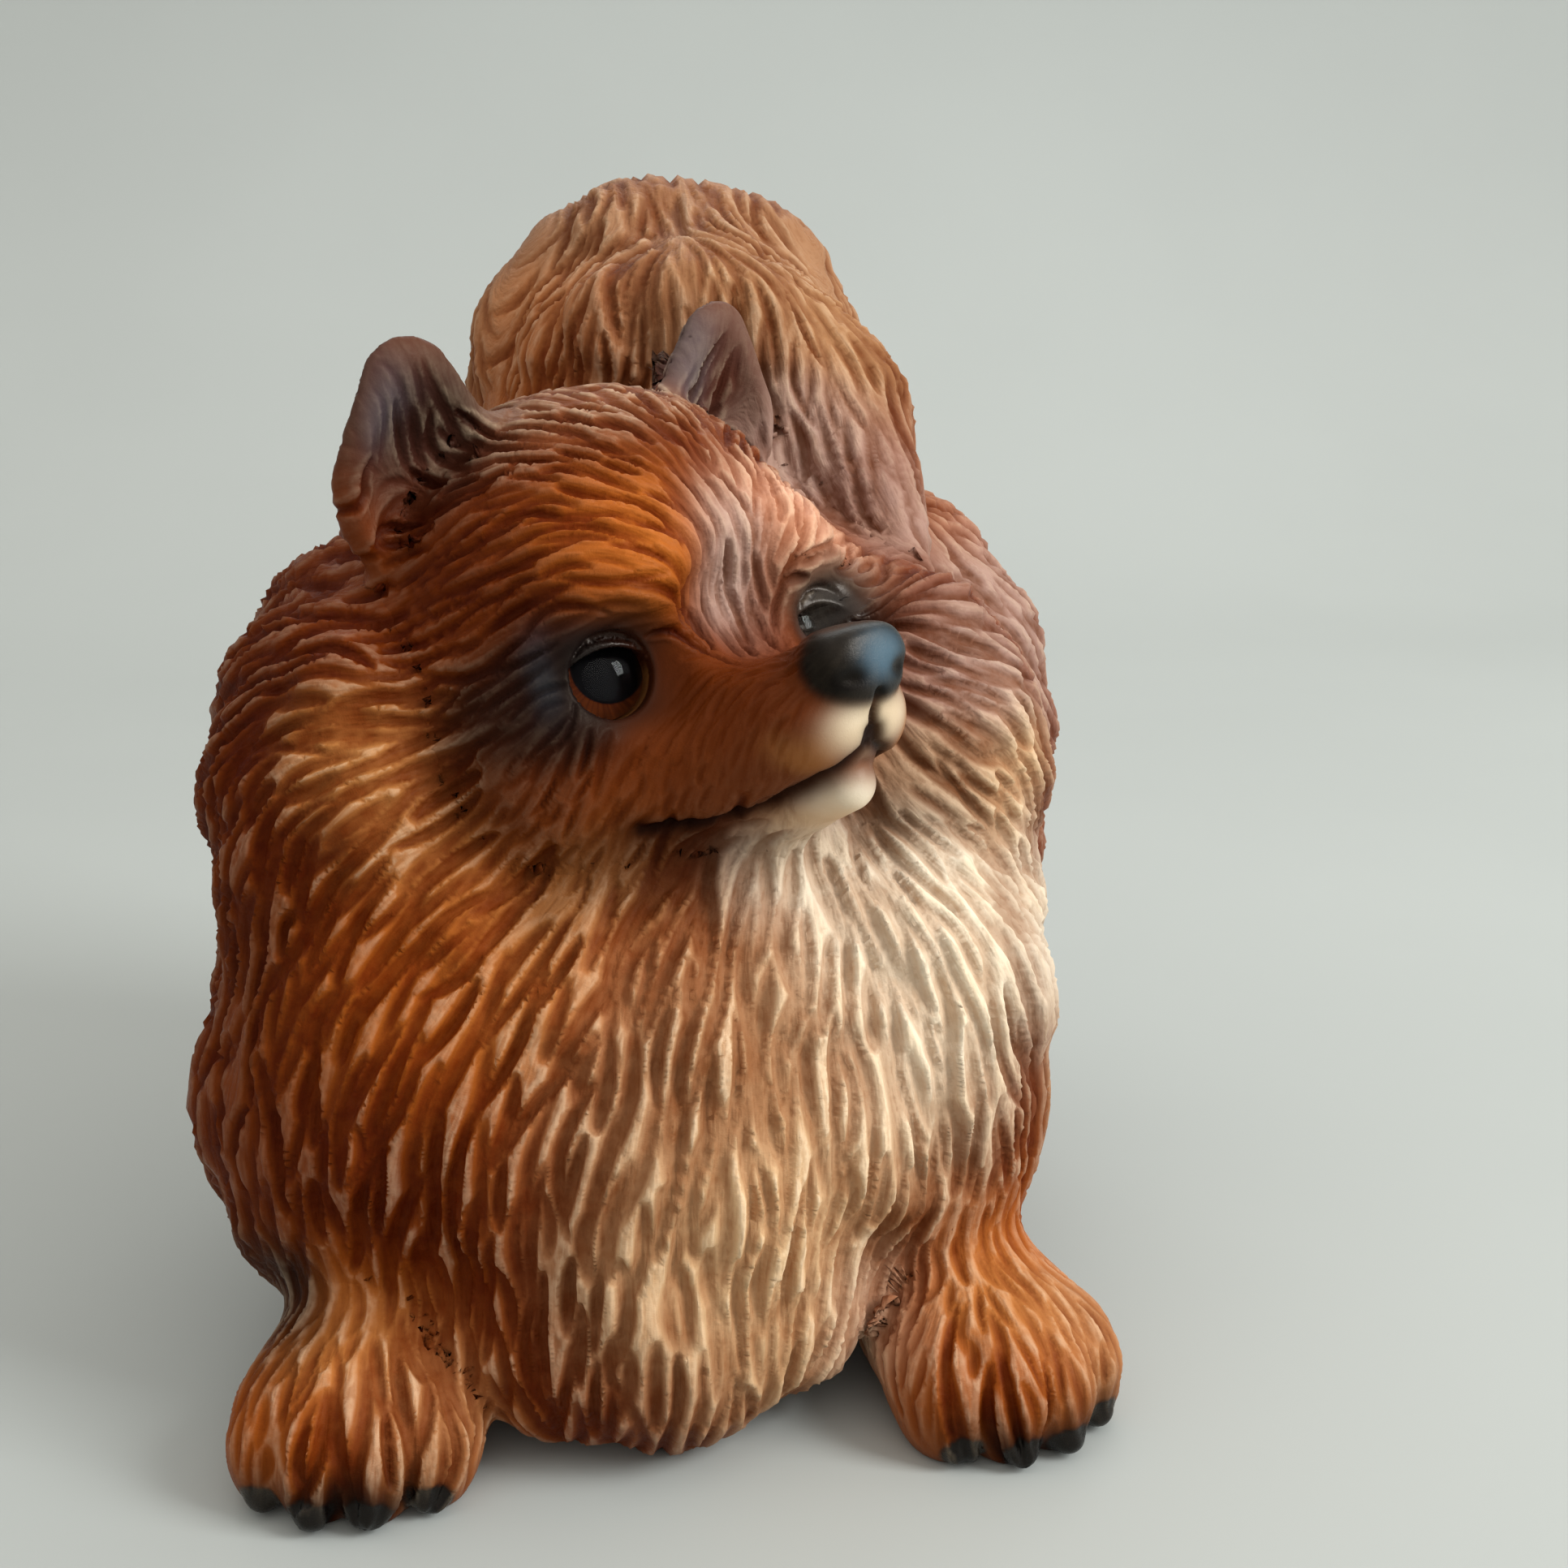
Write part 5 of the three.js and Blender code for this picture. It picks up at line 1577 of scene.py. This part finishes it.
def dark_wash(n, paint, depth, patch):
    """A thin brown that settles in the gouges, and less where the paint is pale."""
    pale = n.add("ShaderNodeRGBToBW", {"Color": paint}).outputs[0]
    held = n.times(n.times(depth, n.ramp(pale, *WASH_ON_PALE)), n.ramp(patch, *WASH_PATCHES))
    return n.mix(held, paint, n.tint(1.0, paint, WASH_TINT))


def coat_material():
    """Airbrushed resin: dry-brushed ridges, washed gouges and fine hair marks."""
    n = Nodes("painted_resin_coat")
    place = n.vector("SCALE", n.object_place(), scale=1 / MM)
    streak = hair_streaks(n, place)
    patch = n.noise(place, PATCH_SCALE, 3.0)
    grain = n.noise(place, GRAIN_SCALE, 3.0, 0.65)
    hairy = n.fact("hairy")
    gloss = n.fact("gloss")
    depth = n.ramp(n.fact("cut"), *GROOVE_RAMP)

    # Large areas wander a little in tone, as layers sprayed by hand do
    blotch = n.ramp(n.noise(place, BLOTCH_SCALE, 3.0), *BLOTCH_RAMP)
    paint = n.tint(blotch, n.fact("paint", "Color"), BLOTCH_TINT)
    paint = dry_brush(n, paint, streak, patch)
    marks = n.times(n.ramp(streak, *MARK_RAMP), hairy)
    paint = n.tint(n.times(marks, MARK_STRENGTH), paint, MARK_TINT)
    paint = dark_wash(n, paint, depth, patch)
    specks = n.ramp(n.noise(place, SPECK_SCALE, 4.0, 0.8), *SPECK_RAMP)
    paint = n.tint(n.times(specks, SPECK_STRENGTH), paint, SPECK_TINT)

    rough = n.math("ADD", n.ramp(grain, *GRAIN_ROUGHNESS), n.times(depth, GROOVE_ROUGHNESS))
    relief = n.times(n.times(streak, hairy), STREAK_RELIEF * MM)
    relief = n.math("ADD", relief, n.times(grain, GRAIN_RELIEF * MM))
    bump = n.add("ShaderNodeBump", {"Height": relief, "Distance": 1.0, "Strength": 1.0})
    return n.finish(
        Base_Color=paint,
        Roughness=n.times(rough, n.ramp(gloss, *VARNISH_ROUGHNESS)),
        Specular_IOR_Level=n.ramp(gloss, *VARNISH_SHEEN),
        Specular_Tint=n.mix(gloss, SHEEN_TINT, WHITE),
        Normal=bump.outputs[0],
    )


# Glass eyes: the dome and the painted disc behind it. The disc is set a hair into the glass.
EYE_SIDES = 64
DOME_STEPS = 14
DOME_BEVEL = 0.15
DISC_TOP = 0.02
DISC_LOW = -1.1
DISC_BEVEL = 0.12
PUPIL_RADIUS = 3.75
PUPIL_AT = (-1.0, 1.15, 0)
PUPIL_EDGE = (-0.1, 0.15)
PUPIL_BLACK = (0.002, 0.002, 0.003, 1)
PUPIL_WAVER = 0.12
PUPIL_WAVES = 1.2
IRIS_RIM = (3.7, 4.6)
RAYS = 9
RAY_RAMP = (0.35, 0.65, 0.0, 0.15)
SMEAR_SCALE = 0.6
SMEAR_ROUGHNESS = (0.4, 0.8, 0.015, 0.06)
GLASS_TINT = (1, 0.99, 0.97, 1)
GLASS_IOR = 1.18


def lathe(profile, sides):
    """A closed turned surface about +Z; the profile starts and ends on the axis."""
    angles = np.arange(sides) * (2 * math.pi / sides)
    rings = profile[1:-1]
    points = [(0, 0, profile[0][1])]
    for radius, height in rings:
        points += [(radius * math.cos(a), radius * math.sin(a), height) for a in angles]
    points.append((0, 0, profile[-1][1]))
    last = len(points) - 1
    faces = []
    for i in range(sides):
        after = (i + 1) % sides
        faces.append((0, 1 + after, 1 + i))
        faces.append((last, last - sides + i, last - sides + after))
        for ring in range(len(rings) - 1):
            a, b = 1 + ring * sides + i, 1 + ring * sides + after
            faces += [(a, b, b + sides), (a, b + sides, a + sides)]
    return np.array(points, np.float32), np.array(faces)


def eye_object(name, side, profile, shift):
    """A turned piece of one eye, with each point's place across, up and out as a fact."""
    points, faces = lathe(profile, EYE_SIDES)
    axes = np.stack([EYE_SIDE, EYE_UP, EYE_OUT])
    local = (points @ axes + GLASS_BACK) * row(side, 1, 1)
    if side < 0:
        faces = faces[:, ::-1]
    return mesh_object(name, from_head(local) + shift, faces, {"eye_at": points})


def dome_profile():
    centre = GLASS_HEIGHT - DOME_RADIUS
    edge = math.acos(GLASS_RADIUS / DOME_RADIUS)
    profile = [(0, 0), (GLASS_RADIUS * 0.5, 0), (GLASS_RADIUS - DOME_BEVEL, 0)]
    profile.append((GLASS_RADIUS, DOME_BEVEL))
    for i in range(DOME_STEPS):
        angle = edge + (math.pi / 2 - edge) * i / DOME_STEPS
        profile.append((DOME_RADIUS * math.cos(angle), centre + DOME_RADIUS * math.sin(angle)))
    return profile + [(0, GLASS_HEIGHT)]


def disc_profile():
    edge = GLASS_RADIUS - DISC_BEVEL
    return [
        (0, DISC_LOW), (edge, DISC_LOW), (GLASS_RADIUS, DISC_LOW + DISC_BEVEL),
        (GLASS_RADIUS, DISC_TOP - DISC_BEVEL), (edge, DISC_TOP), (0, DISC_TOP),
    ]


def glass_material():
    n = Nodes("clear_eye_glass")
    smear = n.noise(n.fact("eye_at", "Vector"), SMEAR_SCALE, 3.0)
    rough = n.ramp(smear, *SMEAR_ROUGHNESS)
    return n.finish(Base_Color=GLASS_TINT, Transmission_Weight=1.0, IOR=GLASS_IOR, Roughness=rough)


def iris_material():
    """A black pupil on an amber ground that darkens to its rim."""
    n = Nodes("painted_eye_disc")
    flat = n.vector("MULTIPLY", n.fact("eye_at", "Vector"), (1, 1, 0))
    rays = n.noise(n.vector("SCALE", n.vector("NORMALIZE", flat), scale=RAYS), 1.0, 3.0)
    amber = n.mix(n.ramp(rays, *RAY_RAMP), rgba("amber"), rgba("rust"))
    amber = n.mix(n.ramp(n.vector("LENGTH", flat), *IRIS_RIM), amber, rgba("umber"))
    from_pupil = n.vector("LENGTH", n.vector("SUBTRACT", flat, PUPIL_AT))
    wavy = n.math("ADD", from_pupil, n.times(n.noise(flat, PUPIL_WAVES), PUPIL_WAVER))
    outside = n.ramp(wavy, *(PUPIL_RADIUS + edge for edge in PUPIL_EDGE))
    colour = n.mix(outside, PUPIL_BLACK, amber)
    return n.finish(Base_Color=colour, Roughness=0.4, Specular_IOR_Level=0.05)


# Stage, in metres: a pale sweep whose tone varies a little, and two soft lamps, each with its
# place, size, watts and colour
SWEEP_HALF = 1.6
SWEEP_FRONT = -1.2
SWEEP_BACK = 0.75
SWEEP_TOP = 1.5
SWEEP_BEND = 0.35
SWEEP_STEPS = 16
SWEEP_COLOUR = (0.4, 0.42, 0.4)
SWEEP_WAVES = 6.0
SWEEP_SPREAD = 0.015
LIT_MIDDLE = (0, 0, 0.07)
LAMPS = {
    "window_light": ((0.8, -0.45, 0.6), (0.4, 0.6), 11, (0.96, 0.99, 1.0)),
    "back_light": ((0.1, 0.6, 0.7), (0.8, 0.4), 2.0, (0.95, 0.98, 1.0)),
}
ROOM_COLOUR = (1.0, 0.97, 0.93, 1)
ROOM_STRENGTH = {"From Min": 0.0, "From Max": 0.9, "To Min": 0.3, "To Max": 1.3}


def sweep_material():
    n = Nodes("pale_sweep")
    noise = n.noise(n.object_place(), SWEEP_WAVES, 3.0)
    tone = n.ramp(noise, 0.3, 0.7, 1 - SWEEP_SPREAD, 1 + SWEEP_SPREAD)
    shade = n.vector("SCALE", SWEEP_COLOUR, scale=tone)
    return n.finish(Base_Color=shade, Roughness=0.7, Specular_IOR_Level=0.2)


def sweep_floor():
    """A pale floor that curves up into a backdrop behind the figurine."""
    bend_at = SWEEP_BACK - SWEEP_BEND
    profile = [(SWEEP_FRONT, 0.0), (bend_at, 0.0)]
    for i in range(1, SWEEP_STEPS + 1):
        angle = math.pi / 2 * i / SWEEP_STEPS
        rise = SWEEP_BEND - SWEEP_BEND * math.cos(angle)
        profile.append((bend_at + SWEEP_BEND * math.sin(angle), rise))
    profile.append((SWEEP_BACK, SWEEP_TOP))
    points = [(x, y, z) for y, z in profile for x in (-SWEEP_HALF, SWEEP_HALF)]
    faces = [(2 * i, 2 * i + 1, 2 * i + 3, 2 * i + 2) for i in range(len(profile) - 1)]
    floor = mesh_object("sweep_floor", np.array(points, np.float32) / MM, np.array(faces), {})
    floor.data.materials.append(sweep_material())


def softbox(name, at, size, watts, colour):
    light = bpy.data.lights.new(name, "AREA")
    light.shape = "RECTANGLE"
    light.size, light.size_y = size
    light.energy = watts
    light.color = colour
    lamp = bpy.data.objects.new(name, light)
    lamp.location = at
    facing = Vector(LIT_MIDDLE) - lamp.location
    lamp.rotation_euler = facing.to_track_quat("-Z", "Y").to_euler()
    bpy.context.scene.collection.objects.link(lamp)


def room_light():
    """A room that is bright overhead and dim at eye level."""
    world = bpy.data.worlds.new("room")
    world.use_nodes = True
    tree = world.node_tree
    place = tree.nodes.new("ShaderNodeTexCoord")
    parts = tree.nodes.new("ShaderNodeSeparateXYZ")
    rise = tree.nodes.new("ShaderNodeMapRange")
    tree.links.new(place.outputs["Generated"], parts.inputs[0])
    tree.links.new(parts.outputs["Z"], rise.inputs["Value"])
    for key, value in ROOM_STRENGTH.items():
        rise.inputs[key].default_value = value
    background = tree.nodes["Background"]
    background.inputs["Color"].default_value = ROOM_COLOUR
    tree.links.new(rise.outputs[0], background.inputs["Strength"])
    bpy.context.scene.world = world


def light_stage():
    for name, lamp in LAMPS.items():
        softbox(name, *lamp)
    room_light()


# Camera, as the photograph was taken: its place in the figurine's frame, and angles in degrees
CAMERA_AT = (-15.4, -232.3, 131)
CAMERA_HEADING = 8
CAMERA_DOWN = 15
FOCAL_PIXELS = 2400
SENSOR = 36.0
CLIP_NEAR = 0.01


def place_camera(shift):
    lens = bpy.data.cameras.new("photo_view")
    lens.sensor_width = SENSOR
    lens.lens = SENSOR * FOCAL_PIXELS / PHOTO_SIDE
    lens.clip_start = CLIP_NEAR
    camera = bpy.data.objects.new("photo_view", lens)
    camera.location = Vector((row(*CAMERA_AT) + shift) * MM)
    camera.rotation_euler = (math.radians(90 - CAMERA_DOWN), 0, math.radians(-CAMERA_HEADING))
    bpy.context.scene.collection.objects.link(camera)
    bpy.context.scene.camera = camera


def row_shift():
    """From the figurine's own frame to the row's, in millimetres, by the eye discs' middles."""
    shifts = []
    for node, side in (("right_eye_iris", -1), ("left_eye_iris", 1)):
        low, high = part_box(node)
        middle = (GLASS_BACK - EYE_OUT * IRIS_DEPTH) * row(side, 1, 1)
        shifts.append(np.array((low + high) / 2, np.float32) / MM - from_head(middle))
    return (shifts[0] + shifts[1]) / 2


def ride_piece(made, node, slot, material):
    made.data.materials.append(material)
    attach(made, "root")
    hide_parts(node)


def gouges_for(surfaces):
    """The gouges of the whole coat, begun at points scattered over its outside."""
    random = np.random.default_rng(SEED)
    loose = [points[whole_field(points) > DEEP] for points, _ in surfaces.values()]
    loose = np.concatenate(loose)
    loose = loose[random.random(len(loose)) < SEED_TRIES / len(loose)]
    return traced(seeds(loose, whole_normals(loose), random), random)


def dress_castings(shift):
    surfaces = {name: coat_surface(name, shift) for name in PIECES}
    strokes = gouges_for(surfaces)
    material = coat_material()
    for name, (points, faces) in surfaces.items():
        points, facts = carve_coat(points, faces, name, strokes)
        made = mesh_object(PIECES[name]["piece"], points + shift, faces, facts)
        ride_piece(made, name, PIECES[name]["slot"], material)


def dress_eyes(shift):
    glass, iris = glass_material(), iris_material()
    for word, side in (("right", -1), ("left", 1)):
        dome = eye_object(word + "_eye_dome", side, dome_profile(), shift)
        ride_piece(dome, word + "_eye_glass", "eye_glass", glass)
        disc = eye_object(word + "_eye_disc", side, disc_profile(), shift)
        ride_piece(disc, word + "_eye_iris", "eye_paint", iris)


row_at = row_shift()
place_camera(row_at)
dress_castings(row_at)
dress_eyes(row_at)
sweep_floor()
light_stage()
bpy.context.scene.view_settings.view_transform = "Standard"
